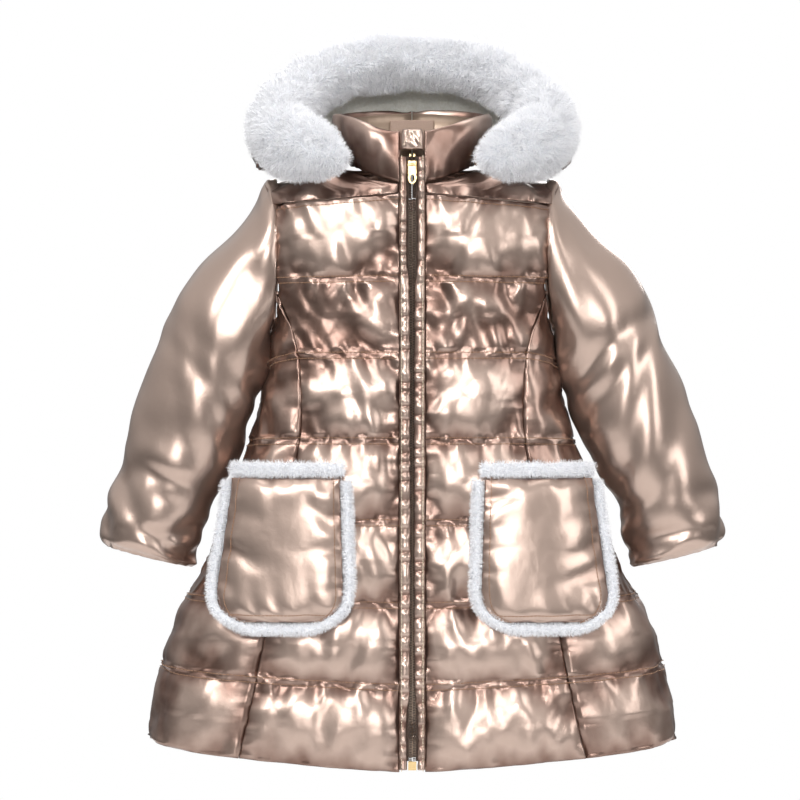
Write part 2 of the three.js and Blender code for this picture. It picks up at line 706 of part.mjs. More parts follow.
// The sleeve's outer and inner edges seen from the front, shoulder to cuff.
const SLEEVE_OUTER = [
  [150.6, 584.6],
  [192, 528],
  [232, 465],
  [252, 415],
  [276, 350],
  [292, 295],
  [307, 250],
  [306, 219],
];
const SLEEVE_INNER = [
  [145, 431],
  [160, 392],
  [170, 352],
  [182, 312],
  [200, 275],
  [209, 246],
  [214, 220],
  [219, 198],
];
const SLEEVE_AROUND = 18;
const SLEEVE_HEAD = 0.2; // share of the length over which the armhole turns into the arm
const asSpline = (points) => new THREE.SplineCurve(points.map(([x, z]) => new THREE.Vector2(x, z)));
const outerEdge = asSpline(SLEEVE_OUTER);
const innerEdge = asSpline(SLEEVE_INNER);

// A place on the sleeve, share 0 at the armhole to 1 at the cuff, inside its outer face by an inset.
function sleevePoint(side, around, share, inset) {
  const high = outerEdge.getPoint(share);
  const low = innerEdge.getPoint(share);
  const middle = high.clone().add(low).multiplyScalar(0.5);
  const axis = high.clone().sub(low);
  const reach = axis.length() / 2 - inset;
  const swell = Math.sin(Math.PI * Math.min(share * 1.4, 1));
  const straight = lerp(ARMHOLE_HALF_DEPTH, CUFF_HALF_DEPTH, share);
  const depth = lerp(straight, SLEEVE_HALF_DEPTH + 4, 0.5 * swell) - inset;
  const turn = 2 * Math.PI * around;
  axis.normalize().multiplyScalar(reach * Math.cos(turn));
  const point = new THREE.Vector3(middle.x + axis.x, depth * Math.sin(turn), middle.y + axis.y);
  point.y += SLEEVE_SET_BACK * share;
  if (share < SLEEVE_HEAD) {
    const seamWidth = readTable(ARMHOLE_WIDTHS, point.z) + ARMHOLE_GAP;
    point.x = lerp(seamWidth, point.x, share / SLEEVE_HEAD);
  }
  return mirrored(side, point);
}

function sleeveTube(side, shares, outerInset, innerInset) {
  const loops = [];
  for (let k = 0; k < SLEEVE_AROUND; k++) {
    const face = (inset) => shares.map((share) => sleevePoint(side, k / SLEEVE_AROUND, share, inset));
    loops.push([...face(outerInset), ...face(innerInset).reverse()]);
  }
  return loft(loops, true);
}

const facingStart = 1 - CUFF_FACING / outerEdge.getLength();
const headShares = [0.5 * SLEEVE_HEAD, SLEEVE_HEAD, 0.35, 0.5, 0.65, 0.8];
const layerInset = SLEEVE_WALL + 2 * LAYER_GAP;
for (const [hand, side] of HANDS) {
  const shell = sleeveTube(side, [0, ...headShares, facingStart, 1], 0, SLEEVE_WALL);
  add(`${hand}_sleeve`, "coated", shell);
  const lining = sleeveTube(side, [...headShares, facingStart - 0.003], layerInset, layerInset + LINING);
  add(`${hand}_sleeve_lining`, "lining", lining);
  const facing = sleeveTube(side, [facingStart, 0.96, 0.995], layerInset, layerInset + LINING);
  add(`${hand}_cuff_facing`, "coated", facing);
}

// ---- Pockets ------------------------------------------------------------------------------------------

// A place over the coat's front at a width and height.
function frontPlace(side, width, height) {
  const place = bodyPlace(turnAt(width, height), height, 1);
  mirrored(side, place.point);
  mirrored(side, place.outward);
  return place;
}

// The pocket's outline, in shares of its width, pulled in at the two lower corners.
function pocketEdges(height, grow) {
  const share = (height - POCKET_LOW) / (POCKET_HIGH - POCKET_LOW);
  const rise = Math.max(height - (POCKET_LOW - grow), 0);
  const corner = POCKET_CORNER + grow;
  const pulled = rise < corner ? corner - Math.sqrt(corner ** 2 - (corner - rise) ** 2) : 0;
  return [
    lerp(POCKET_INNER_LOW, POCKET_INNER_HIGH, share) - grow + pulled,
    lerp(POCKET_OUTER_LOW, POCKET_OUTER_HIGH, share) + grow - pulled,
  ];
}

const pocketFace = POCKET_HAND_ROOM + POCKET_WALL;
for (const [hand, side] of HANDS) {
  const patchPlace = (across, rise) => {
    const height = lerp(POCKET_LOW, POCKET_HIGH, rise);
    const [inner, outer] = pocketEdges(height, 0);
    return frontPlace(side, lerp(inner, outer, across), height);
  };
  add(`${hand}_pocket`, "coated", sheet(8, 8, patchPlace, -pocketFace, -POCKET_HAND_ROOM));

  // The fur edging: a band that closes the pocket's sides and bottom down to the coat.
  const EDGE_STEPS = 24;
  const route = [];
  for (let k = 0; k <= EDGE_STEPS; k++) {
    const share = k / EDGE_STEPS;
    const down = Math.min(share * 3, 1);
    const along = THREE.MathUtils.clamp(share * 3 - 1, 0, 1);
    const up = Math.max(share * 3 - 2, 0);
    const height = lerp(POCKET_HIGH, POCKET_LOW, down) + up * (POCKET_HIGH - POCKET_LOW);
    const [inner, outer] = pocketEdges(height, 0);
    const [innerGrown, outerGrown] = pocketEdges(lerp(height, height - FUR_EDGE, down - up), FUR_EDGE);
    route.push({
      near: [lerp(inner, outer, along), height],
      far: [lerp(innerGrown, outerGrown, along), height - FUR_EDGE * Math.min(down, 1 - up)],
    });
  }
  const edgePlace = (across, rise) => {
    const { near, far } = route[Math.round(rise * EDGE_STEPS)];
    const gap = SEAM / FUR_EDGE;
    const share = lerp(gap, 1, across);
    return frontPlace(side, lerp(near[0], far[0], share), lerp(near[1], far[1], share));
  };
  add(`${hand}_pocket_fur_edge`, "fur", sheet(1, EDGE_STEPS, edgePlace, -pocketFace, -FUR_STANDOFF));

  const topPlace = (across, rise) => {
    const height = lerp(POCKET_HIGH + SEAM, POCKET_HIGH + FUR_EDGE_TOP, rise);
    const [inner, outer] = pocketEdges(POCKET_HIGH, FUR_EDGE);
    return frontPlace(side, lerp(inner, Math.min(outer, halfWidth(height) - 2), across), height);
  };
  add(`${hand}_pocket_fur_top`, "fur", sheet(8, 1, topPlace, -pocketFace, -POCKET_HAND_ROOM));
}

// ---- Hood ---------------------------------------------------------------------------------------------

// Middle line of the fur roll, from its top round to its lower end on one side.
const FUR_LINE = [
  [0, 52, 708],
  [62, 45, 700],
  [106, 24, 677],
  [130, -8, 645],
  [124, -42, 620],
  [103, -64, 611],
];
const furHalf = FUR_LINE.map(([x, y, z]) => new THREE.Vector3(x, y, z));
const furOther = furHalf.slice(1).map((point) => mirrored(-1, point.clone()));
const furCurve = new THREE.CatmullRomCurve3([...furOther.reverse(), ...furHalf]);
const furRadius = (share) => {
  const off = Math.abs(2 * share - 1);
  return readTable(
    [
      [0, FUR_TOP_RADIUS],
      [0.65, FUR_SIDE_RADIUS],
      [1, FUR_END_RADIUS],
    ],
    off,
  );
};
add("hood_fur_trim", "fur", furRoll(furCurve, furRadius, 30, 12));

// The hood's inside surface runs from its face edge, behind the fur, back and down to the neck seam.
const FUR_CLEAR = 0.4; // between the fur roll and the edge of the hood behind it
const FUR_CLEAR_GAIN = 4; // added to it from the top of the hood to its sides
const HOOD_NECK_BACK = 77;
const HOOD_NECK_SIDE = 92;
const HOOD_NECK_CORNER = degToRad(58);
const HOOD_NECK_RISE = 12; // the hood's lower edge lies this far above the neck seam
const HOOD_CROWN_LIFT = 72; // pull of the curve as it leaves the face edge, at centre back
const HOOD_NAPE_FULLNESS = 76; // pull of the curve as it reaches the neck, at centre back
const HOOD_SIDE_PULL = 8; // both pulls at the front corners
const HOOD_FACE_FLARE = 14;
const HOOD_NAPE_FLARE = 30;
const HOOD_NAPE_LIFT = 12;
const HOOD_NAPE_LEAD = 2;
const HOOD_CROWN_DROP = -6;
function hoodNeckPoint(off) {
  const turn = lerp(Math.PI, HOOD_NECK_CORNER, Math.abs(off));
  const across = Math.sign(off) * HOOD_NECK_SIDE * Math.sin(turn);
  return new THREE.Vector3(across, -HOOD_NECK_BACK * Math.cos(turn), neckPoint(turn).z + HOOD_NECK_RISE);
}
function hoodPlacePoint(off, back) {
  const face = furCurve.getPoint((off + 1) / 2);
  const along = furCurve.getTangent((off + 1) / 2);
  const round = Math.abs(off);
  const behind = new THREE.Vector3(0.75 * off, 1 - 0.4 * round, -0.35 * round);
  behind.projectOnPlane(along).normalize();
  face.addScaledVector(behind, furRadius((off + 1) / 2) + FUR_CLEAR + FUR_CLEAR_GAIN * round);
  const neck = hoodNeckPoint(off);
  const fullness = Math.cos((Math.PI / 2) * Math.min(Math.abs(off), 1)) ** 0.6;
  const sideways = Math.sin(Math.PI * Math.abs(off)) * Math.sign(off);
  const leaving = new THREE.Vector3(
    HOOD_FACE_FLARE * sideways,
    lerp(HOOD_SIDE_PULL, HOOD_CROWN_LIFT, fullness),
    HOOD_CROWN_DROP * fullness,
  );
  const arriving = new THREE.Vector3(
    HOOD_NAPE_FLARE * sideways,
    lerp(HOOD_SIDE_PULL, HOOD_NAPE_FULLNESS, fullness),
    HOOD_NAPE_LIFT * fullness + HOOD_NAPE_LEAD,
  );
  return new THREE.CubicBezierCurve3(
    face,
    face.clone().add(leaving),
    neck.clone().add(arriving),
    neck,
  ).getPoint(back);
}
function hoodPlace(off, back) {
  const point = hoodPlacePoint(off, back);
  const nudge = 0.01;
  const alongEdge = hoodPlacePoint(off + nudge, back).sub(hoodPlacePoint(off - nudge, back));
  const alongDepth = hoodPlacePoint(off, Math.min(back + nudge, 1)).sub(
    hoodPlacePoint(off, Math.max(back - nudge, 0)),
  );
  const outward = alongEdge.cross(alongDepth).normalize();
  return { point, outward };
}
const HOOD_BACK_STEPS = 8;
const HOOD_END = 0.74; // the sides stop short of the ends of the fur roll
const hoodSeam = 0.003;
const fleeceFace = HOOD_FLEECE + 2.2 * LAYER_GAP;
function hoodPanel(name, from, to, side) {
  const placeAt = (across, back) => {
    const place = hoodPlace(lerp(from, to, across), back);
    return { point: mirrored(side, place.point), outward: mirrored(side, place.outward) };
  };
  add(name, "coated", sheet(6, HOOD_BACK_STEPS, placeAt, -fleeceFace - HOOD_SHELL, -fleeceFace));
  add(`${name}_fleece`, "fleece", sheet(6, HOOD_BACK_STEPS, placeAt, -HOOD_FLEECE, 0));
}
hoodPanel("hood_centre", -HOOD_STRIP + hoodSeam, HOOD_STRIP - hoodSeam, 1);
for (const [hand, side] of HANDS) hoodPanel(`${hand}_hood_side`, HOOD_STRIP + hoodSeam, HOOD_END, side);

// Two tapes join the hood to the neck seam by a hidden zip, one sewn to the collar and one to the hood.
const TAPE_SPLIT_SIDE = 85;
const TAPE_SPLIT_BACK = 64;
const TAPE_SPLIT_GAP = 1;
const TAPE_RISE = 9; // the tapes lie this far above the neck seam
const HOOD_TAPE_DEPTH = 2;
const HOOD_TAPE_CORNER = degToRad(88); // the hood's tape starts at the sides of the neck
function hoodTape(name, corner, innerSide, innerBack, outerSide, outerBack) {
  const placeAt = (across, rise) => {
    const turn = lerp(corner, 2 * Math.PI - corner, across);
    const seam = neckPoint(turn < Math.PI ? turn : 2 * Math.PI - turn);
    const width = lerp(innerSide, outerSide, rise);
    const depth = lerp(innerBack, outerBack, rise);
    const point = new THREE.Vector3(width * Math.sin(turn), -depth * Math.cos(turn), seam.z + TAPE_RISE);
    return { point, outward: new THREE.Vector3(0, 0, 1) };
  };
  add(name, "tape", sheet(24, 1, placeAt, 0, HOOD_TAPE_DEPTH));
}
const COLLAR_BOW = 3.5; // the collar's outside stands this much wider than its edges at the tapes
const collarFootSide = lerp(NECK_HALF_WIDTH, COLLAR_TOP_HALF_WIDTH, 0.25) + COLLAR_BOW;
const collarFootBack = NECK_BACK_DEPTH + 2.5;
const splitSide = TAPE_SPLIT_SIDE - TAPE_SPLIT_GAP;
const splitBack = TAPE_SPLIT_BACK - TAPE_SPLIT_GAP;
hoodTape("collar_hood_tape", HOOD_NECK_CORNER, collarFootSide, collarFootBack, splitSide, splitBack);
hoodTape("hood_tape", HOOD_TAPE_CORNER, TAPE_SPLIT_SIDE, TAPE_SPLIT_BACK, HOOD_NECK_SIDE, HOOD_NECK_BACK);

const HOOD_ZIP_RAISE = 2; // the tapes climb towards the back under these pieces
const HOOD_ZIP_OUT = 12;
const HOOD_ZIP_BACK = 3;
const HOOD_ZIP_TURN = degToRad(-35);
// The hood zip's slider sits on the left front end of the tapes and a small cloth tab closes the right.
function hoodZipEnd(name, finish, side, size) {
  const seam = neckPoint(HOOD_NECK_CORNER);
  const block = new THREE.BoxGeometry(...size);
  const mesh = add(name, finish, block);
  const height = seam.z + TAPE_RISE + HOOD_ZIP_RAISE + size[2] / 2;
  mesh.position.set(side * (seam.x + HOOD_ZIP_OUT), seam.y + HOOD_ZIP_BACK, height);
  mesh.rotation.z = side * HOOD_ZIP_TURN;
  return mesh;
}
const hoodSlider = hoodZipEnd("hood_zip_slider", "agedBrass", 1, [7, 9, 3.2]);
hoodZipEnd("hood_zip_end_tab", "coated", -1, [8, 11, 2.4]);
const hoodPullShape = new THREE.BoxGeometry(4, 1.2, 10);
hoodPullShape.translate(0, 0, -4.4);
const hoodPull = add("hood_zip_pull", "agedBrass", hoodPullShape);
hoodPull.position.copy(hoodSlider.position).add(new THREE.Vector3(-2.8, -6.6, 0.6));

// ---- Hanger loop and label ----------------------------------------------------------------------------

// Inside face of the collar lining near centre back, at a distance from the middle and a height.
function neckInside(x, height) {
  const inset = COLLAR_WALL + LAYER_GAP + LINING + LOOP_SEAT;
  const rise = (height - NECK_BACK_HEIGHT) / (COLLAR_BACK_TOP - NECK_BACK_HEIGHT);
  const halfSpan = lerp(NECK_HALF_WIDTH, COLLAR_TOP_HALF_WIDTH, rise) - inset;
  const depth = lerp(NECK_BACK_DEPTH, COLLAR_TOP_BACK_DEPTH, rise) - inset;
  return depth * Math.sqrt(1 - (x / halfSpan) ** 2);
}
const loopTop = NECK_BACK_HEIGHT + 22;
const loopFoot = loopTop - LOOP_DROP;
const loopBack = neckInside(LOOP_WIDTH / 2 + LOOP_RADIUS, loopFoot);
const loopY = neckInside(0, loopFoot) - LOOP_STANDOFF;
const loopHalf = [
  [LOOP_WIDTH / 2, loopBack, loopFoot],
  [LOOP_WIDTH / 2, Math.min(loopBack - 4, loopY), loopFoot + 3],
  [LOOP_WIDTH / 3, loopY, loopTop - LOOP_RADIUS - 1.5],
];
const loopPoints = [
  ...loopHalf.map(([x, y, z]) => new THREE.Vector3(-x, y, z)),
  new THREE.Vector3(0, loopY, loopTop - LOOP_RADIUS),
  ...loopHalf.reverse().map(([x, y, z]) => new THREE.Vector3(x, y, z)),
];
const loopCurve = new THREE.CatmullRomCurve3(loopPoints);
add("hanger_loop", "lining", furRoll(loopCurve, () => LOOP_RADIUS, 24, 8));

// A blank label on the collar lining above the loop.
const label = new THREE.BoxGeometry(LABEL_WIDTH, LABEL_THICKNESS, LABEL_HEIGHT);
const labelLow = loopTop + 5;
const labelY = neckInside(LABEL_WIDTH / 2, labelLow) + LABEL_SEAT;
label.translate(0, labelY - LABEL_THICKNESS / 2, labelLow + LABEL_HEIGHT / 2);
add("neck_label", "fleece", label);

// The hanger bears on the underside of the loop's top.
coat.position.set(0, -loopY, -(loopTop - 2 * LOOP_RADIUS));

const part = new THREE.Group();
part.add(coat);
export default part;
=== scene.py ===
# %% [markdown]
# A child's quilted winter coat: a padded body in metallic coated cloth, set-in sleeves, a stand
# collar, a hood with a fleece lining and a deep fur trim, a front zip and two fur-edged pockets.
# The imported model gives the frame: every piece made here rides on one of its bodies, except the padded shells of
# the sleeves.

import math

import bmesh
import bpy
import numpy as np
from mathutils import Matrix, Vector


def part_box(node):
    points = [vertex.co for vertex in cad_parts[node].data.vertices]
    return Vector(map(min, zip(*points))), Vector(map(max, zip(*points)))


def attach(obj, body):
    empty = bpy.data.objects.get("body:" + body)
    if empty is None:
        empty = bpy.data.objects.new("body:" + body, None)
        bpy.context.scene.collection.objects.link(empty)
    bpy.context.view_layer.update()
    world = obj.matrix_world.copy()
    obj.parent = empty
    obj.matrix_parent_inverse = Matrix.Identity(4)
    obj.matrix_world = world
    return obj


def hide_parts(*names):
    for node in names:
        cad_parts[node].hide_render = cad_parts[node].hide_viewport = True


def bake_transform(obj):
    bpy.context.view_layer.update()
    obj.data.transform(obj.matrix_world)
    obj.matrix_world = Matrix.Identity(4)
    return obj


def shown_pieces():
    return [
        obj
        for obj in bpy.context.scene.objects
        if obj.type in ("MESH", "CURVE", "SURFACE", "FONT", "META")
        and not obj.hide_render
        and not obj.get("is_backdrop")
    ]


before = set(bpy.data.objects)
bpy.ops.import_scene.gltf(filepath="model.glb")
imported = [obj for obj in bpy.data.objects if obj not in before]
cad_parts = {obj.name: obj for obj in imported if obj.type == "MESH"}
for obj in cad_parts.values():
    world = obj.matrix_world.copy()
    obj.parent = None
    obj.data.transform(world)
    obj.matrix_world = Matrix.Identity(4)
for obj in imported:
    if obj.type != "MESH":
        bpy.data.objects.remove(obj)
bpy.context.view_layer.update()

# %% [markdown]
# The pattern maker's numbers come first. Lengths are millimetres above the hem, as a cutter
# reads them off the garment, and one function moves them into the frame, whose origin is the
# hanger loop at the back of the neck.

# %% Sizes of the coat
LOOP_FORWARD = 25.85
LOOP_HEIGHT = 620.0
SQUARENESS = 3.2  # the body's section lies between an ellipse and a rectangle
WALL = 11.0
BODY_WIDTHS = [
    [0, 266], [40, 265], [100, 254], [165, 231], [195, 214], [265, 188], [325, 165], [400, 149],
    [435, 143]
]
ARMHOLE_LOW = 432.0
SHOULDER_HEIGHT = 585.0
ARMHOLE_HALF_DEPTH = 52.0
ARMHOLE_WIDTHS = [[432, 143], [455, 138], [500, 136], [557, 140], [585, 148]]
PRINCESS_WIDTHS = [[0, 174], [60, 160], [145, 143], [325, 112], [409, 114], [452, 128], [470, 136]]
YOKE_CENTRE = 570.0
YOKE_SIDE = 558.0
PLACKET_EDGE = 12.0
FRONT_EDGE = 12.6  # the front panels, yokes and collar start this far from the zip line
HEM_HALF_DEPTH = 86.0
DEPTH_TAPER = 0.037  # half depth lost for each millimetre of height
HEM_RISE = 30.0
NECK_HALF_WIDTH = 64.0
NECK_BACK_DEPTH = 50.0
NECK_HEIGHTS = (578.0, 598.0, 602.0)  # at the front, the sides and the back
COLLAR_TOP_HALF_WIDTH = 79.0
COLLAR_TOP_BACK_DEPTH = 51.0
COLLAR_TOPS = (629.0, 650.0, 657.0)  # at the front, the sides and the back
SLEEVE_LENGTH = 405.0
CUFF_FACING = 26.0
POCKET_LOW = 148.0
POCKET_HEIGHT = 141.0
POCKET_CORNER = 30.0
ARMHOLE_MIDDLE = (SHOULDER_HEIGHT + ARMHOLE_LOW) / 2
ARMHOLE_HALF_HEIGHT = (SHOULDER_HEIGHT - ARMHOLE_LOW) / 2
QUILT_ROWS = [84.0, 164.0, 245.0, 325.0, 409.0, 485.0]  # the double rows of stitching


def to_frame(points):
    """Millimetres above the hem to metres in the frame."""
    return (np.asarray(points, float) - [0.0, LOOP_FORWARD, LOOP_HEIGHT]) / 1000.0


def read_table(table, at):
    """A smooth curve through rows of [position, value]."""
    rows = np.array(table, float)
    xs, ys = rows[:, 0], rows[:, 1]
    last = len(xs) - 1
    low = np.maximum(np.arange(last + 1) - 1, 0)
    high = np.minimum(np.arange(last + 1) + 1, last)
    slopes = (ys[high] - ys[low]) / (xs[high] - xs[low])
    at = np.clip(np.asarray(at, float), xs[0], xs[-1])
    row = np.clip(np.searchsorted(xs, at, side="right") - 1, 0, last - 1)
    span = xs[row + 1] - xs[row]
    t = (at - xs[row]) / span
    ease = t * t * (3 - 2 * t)
    value = ys[row] * (1 - ease) + ys[row + 1] * ease
    value += t * (1 - t) ** 2 * span * slopes[row]
    return value + t * t * (t - 1) * span * slopes[row + 1]


print("hem width, mm:", 2 * float(read_table(BODY_WIDTHS, 0)))

# %% [markdown]
# The body is a tube whose section is a rounded rectangle that widens to the hem. A place on it
# is a turn from the middle of the front or back and a height. Inside the armhole the section
# carries on past the seam so that the front meets the sleeve at the armhole's own depth.


# %% The body surface
def half_depth(height):
    return HEM_HALF_DEPTH - DEPTH_TAPER * height


def armhole_depth(height):
    share = np.clip((height - ARMHOLE_MIDDLE) / ARMHOLE_HALF_HEIGHT, -1, 1)
    return ARMHOLE_HALF_DEPTH * np.sqrt(1 - share**2)


def half_width(height):
    height = np.asarray(height, float)
    below = read_table(BODY_WIDTHS, height)
    reach = np.minimum((armhole_depth(height) / half_depth(height)) ** SQUARENESS, 0.95)
    inside = read_table(ARMHOLE_WIDTHS, height) / (1 - reach) ** (1 / SQUARENESS)
    return np.where(height <= ARMHOLE_LOW, below, inside)


def turn_at(width, height):
    share = np.minimum(np.asarray(width, float) / half_width(height), 1 - 1e-9) ** SQUARENESS
    return np.arctan((share / np.maximum(1 - share, 1e-12)) ** (1 / SQUARENESS))


def side_turn(height):
    height = np.asarray(height, float)
    return np.where(
        height <= ARMHOLE_LOW, np.pi / 2, turn_at(read_table(ARMHOLE_WIDTHS, height), height)
    )


def body_place(turn, height, facing):
    """Points and outward directions; turns are signed, facing is 1 at the front, -1 at the back."""
    across, forward = np.sin(turn), np.cos(turn)
    stretch = (np.abs(across) ** SQUARENESS + np.abs(forward) ** SQUARENESS) ** (1 / SQUARENESS)
    width, depth = half_width(height), half_depth(height)
    x, y = across / stretch, forward / stretch
    point = np.stack([width * x, -facing * depth * y, np.broadcast_to(height, x.shape)], -1)
    outward = np.stack(
        [
            np.sign(x) * np.abs(x) ** (SQUARENESS - 1) / width,
            -facing * np.abs(y) ** (SQUARENESS - 1) / depth,
            0 * x,
        ],
        -1,
    )
    return point, outward / np.linalg.norm(outward, axis=-1, keepdims=True)


def hem_height(turn):
    return HEM_RISE * np.abs(np.sin(turn)) ** 1.5


def yoke_seam_height(turn):
    share = np.minimum(np.abs(np.sin(turn) / np.sin(side_turn(YOKE_SIDE))), 1)
    return YOKE_CENTRE + (YOKE_SIDE - YOKE_CENTRE) * share


def row_height(level, turn):
    """Height of a row named by its height at centre front: it lifts with the hem and the yoke."""
    with_hem = read_table([[0, 1], [84, 0.62], [164, 0.25], [245, 0.0]], level)
    with_yoke = read_table([[409, 0], [485, 0.2], [570, 1]], level)
    return level + hem_height(turn) * with_hem + (yoke_seam_height(turn) - YOKE_CENTRE) * with_yoke


print("half width at the armhole, mm:", float(half_width(500.0)))

# %% [markdown]
# Cloth needs noise of several kinds: long soft folds, short puckers beside a seam, and an uneven
# pile. One smooth value noise on a lattice of seeded random numbers serves them all.


# %% Noise and small helpers
def smooth_noise(u, v, seed):
    """Noise from -1 to 1, about one feature for each unit of u and v."""
    table = np.random.RandomState(seed).uniform(-1, 1, (128, 128))
    u, v = np.broadcast_arrays(np.asarray(u, float), np.asarray(v, float))
    i, j = np.floor(u).astype(int), np.floor(v).astype(int)
    a, b = u - i, v - j
    a, b = a * a * (3 - 2 * a), b * b * (3 - 2 * b)
    pick = lambda m, n: table[(i + m) % 128, (j + n) % 128]
    return (
        (pick(0, 0) * (1 - a) + pick(1, 0) * a) * (1 - b)
        + (pick(0, 1) * (1 - a) + pick(1, 1) * a) * b
    )


def mix(a, b, t):
    return a + (b - a) * t


def unit(vectors):
    return vectors / np.linalg.norm(vectors, axis=-1, keepdims=True)


def edge_pins(points):
    """1 on the sewn border of a grid, 0 inside it."""
    pins = np.zeros(points.shape[:2])
    pins[[0, -1]] = 1
    pins[:, [0, -1]] = 1
    return pins


def puff_shade_of(swollen, flat, normals, full, start=0.0):
    """How far the padding rises, as a share of full; the cloth's colour reads it as painted shade, darker where the
    padding sinks to a seam.
    """
    return np.clip(start + ((swollen - flat) * normals).sum(-1) / full, 0, 1)


def loops_round(first, second, turn):
    """Circles in the planes of matching rows of first and second directions."""
    return first[:, None] * np.cos(turn)[None, :, None] + second[:, None] * np.sin(turn)[
        None, :, None
    ]


def dress(obj, node, body):
    """Puts a piece in a plain node's place, hiding the node, on a body."""
    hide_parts(node)
    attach(obj, body)


def grid_normals(points):
    """Unit normals of a grid of points, along rows cross up columns."""
    across = np.gradient(points, axis=1)
    up = np.gradient(points, axis=0)
    normal = np.cross(across, up)
    return normal / np.maximum(np.linalg.norm(normal, axis=-1, keepdims=True), 1e-12)


def finer(points, times=2, ring=False):
    """A grid resampled finer along both ways by smooth interpolation."""
    for axis in (0, 1):
        p = np.moveaxis(points, axis, 0)
        closed = ring and axis == 1
        if closed:
            p = np.concatenate([p[-1:], p, p[:2]])
        else:
            p = np.concatenate([2 * p[:1] - p[1:2], p, 2 * p[-1:] - p[-2:-1]])
        spans = len(p) - 3
        parts = []
        for k in range(times):
            t = k / times
            w = [
                -0.5 * t + t * t - 0.5 * t**3, 1 - 2.5 * t * t + 1.5 * t**3,
                0.5 * t + 2 * t * t - 1.5 * t**3, -0.5 * t * t + 0.5 * t**3
            ]
            parts.append(sum(w[m] * p[m : m + spans] for m in range(4)))
        fine = np.stack(parts, 1).reshape((spans * times,) + p.shape[1:])
        if not closed:
            fine = np.concatenate([fine, p[-2:-1]])
        points = np.moveaxis(fine, 0, axis)
    return points


print("noise sample:", round(float(smooth_noise(0.5, 0.5, 1)), 3))

# %% [markdown]
# Two ways to turn points into a mesh: a closed pad (a fine outer face, a coarse hidden inner
# face and a rim), which makes thin cloth as well, and a closed tube. Each gets a UV map in
# millimetres along its own directions, and the puff attribute, how far the padding rises,
# which the cloth's colour reads as painted shade where the padding sinks.


# %% Mesh makers
def build_mesh(name, points, faces, uvs=None, material=None, smooth=True, puff=None):
    mesh = bpy.data.meshes.new(name)
    mesh.from_pydata([tuple(p) for p in points], [], [tuple(f) for f in faces])
    mesh.validate()
    obj = bpy.data.objects.new(name, mesh)
    bpy.context.scene.collection.objects.link(obj)
    if uvs is not None:
        layer = mesh.uv_layers.new(name="cloth")
        index = np.empty(len(mesh.loops), int)
        mesh.loops.foreach_get("vertex_index", index)
        layer.data.foreach_set("uv", np.asarray(uvs, np.float32)[index].ravel())
    shade = mesh.attributes.new("puff", "FLOAT", "POINT")
    values = np.ones(len(mesh.vertices), np.float32) if puff is None else np.asarray(
        puff, np.float32
    )
    shade.data.foreach_set("value", values)
    if material is not None:
        mesh.materials.append(material)
    if smooth:
        mesh.shade_smooth()
    return obj


def outward_faces(obj):
    """Turns every face of a closed mesh outwards."""
    work = bmesh.new()
    work.from_mesh(obj.data)
    bmesh.ops.recalc_face_normals(work, faces=work.faces)
    work.to_mesh(obj.data)
    work.free()
    return obj


def pad_mesh(name, outer, inner, material, step=4, puff=None):
    """A closed pad: outer is a fine grid, inner the same grid at the back, kept at every step."""
    rows, columns = outer.shape[:2]
    low = np.append(np.arange(0, rows - 1, step), rows - 1)
    wide = np.append(np.arange(0, columns - 1, step), columns - 1)
    back = inner[np.ix_(low, wide)]
    offset = rows * columns
    here = lambda r, c: r * columns + c
    there = lambda r, c: offset + r * len(wide) + c
    r, c = np.meshgrid(np.arange(rows - 1), np.arange(columns - 1), indexing="ij")
    r, c = r.ravel(), c.ravel()
    faces = np.stack([here(r, c), here(r, c + 1), here(r + 1, c + 1), here(r + 1, c)], 1).tolist()
    for a in range(len(low) - 1):
        for b in range(len(wide) - 1):
            faces.append([there(a, b), there(a + 1, b), there(a + 1, b + 1), there(a, b + 1)])
    for b in range(len(wide) - 1):
        span = list(range(wide[b], wide[b + 1] + 1))
        faces.append([here(0, k) for k in reversed(span)] + [there(0, b), there(0, b + 1)])
        faces.append(
            [here(rows - 1, k) for k in span] + [there(len(low) - 1, b + 1), there(len(low) - 1, b)]
        )
    for a in range(len(low) - 1):
        span = list(range(low[a], low[a + 1] + 1))
        faces.append([here(k, 0) for k in span] + [there(a + 1, 0), there(a, 0)])
        faces.append(
            [here(k, columns - 1) for k in reversed(span)]
            + [there(a, len(wide) - 1), there(a + 1, len(wide) - 1)]
        )
    run = np.linalg.norm(np.diff(outer, axis=1), axis=-1)
    climb = np.linalg.norm(np.diff(outer, axis=0), axis=-1)
    u = np.concatenate([np.zeros((rows, 1)), np.cumsum(run, 1)], 1)
    u = u - u[:, columns // 2][:, None]
    v = np.concatenate([np.zeros((1, columns)), np.cumsum(climb, 0)], 0)
    uv = np.stack([u, v], -1)
    uvs = np.concatenate([uv.reshape(-1, 2), uv[np.ix_(low, wide)].reshape(-1, 2)])
    shade = None
    if puff is not None:
        shade = np.concatenate([puff.ravel(), puff[np.ix_(low, wide)].ravel()])
    points = np.concatenate([outer.reshape(-1, 3), back.reshape(-1, 3)])
    return outward_faces(build_mesh(name, points, faces, uvs, material, True, shade))


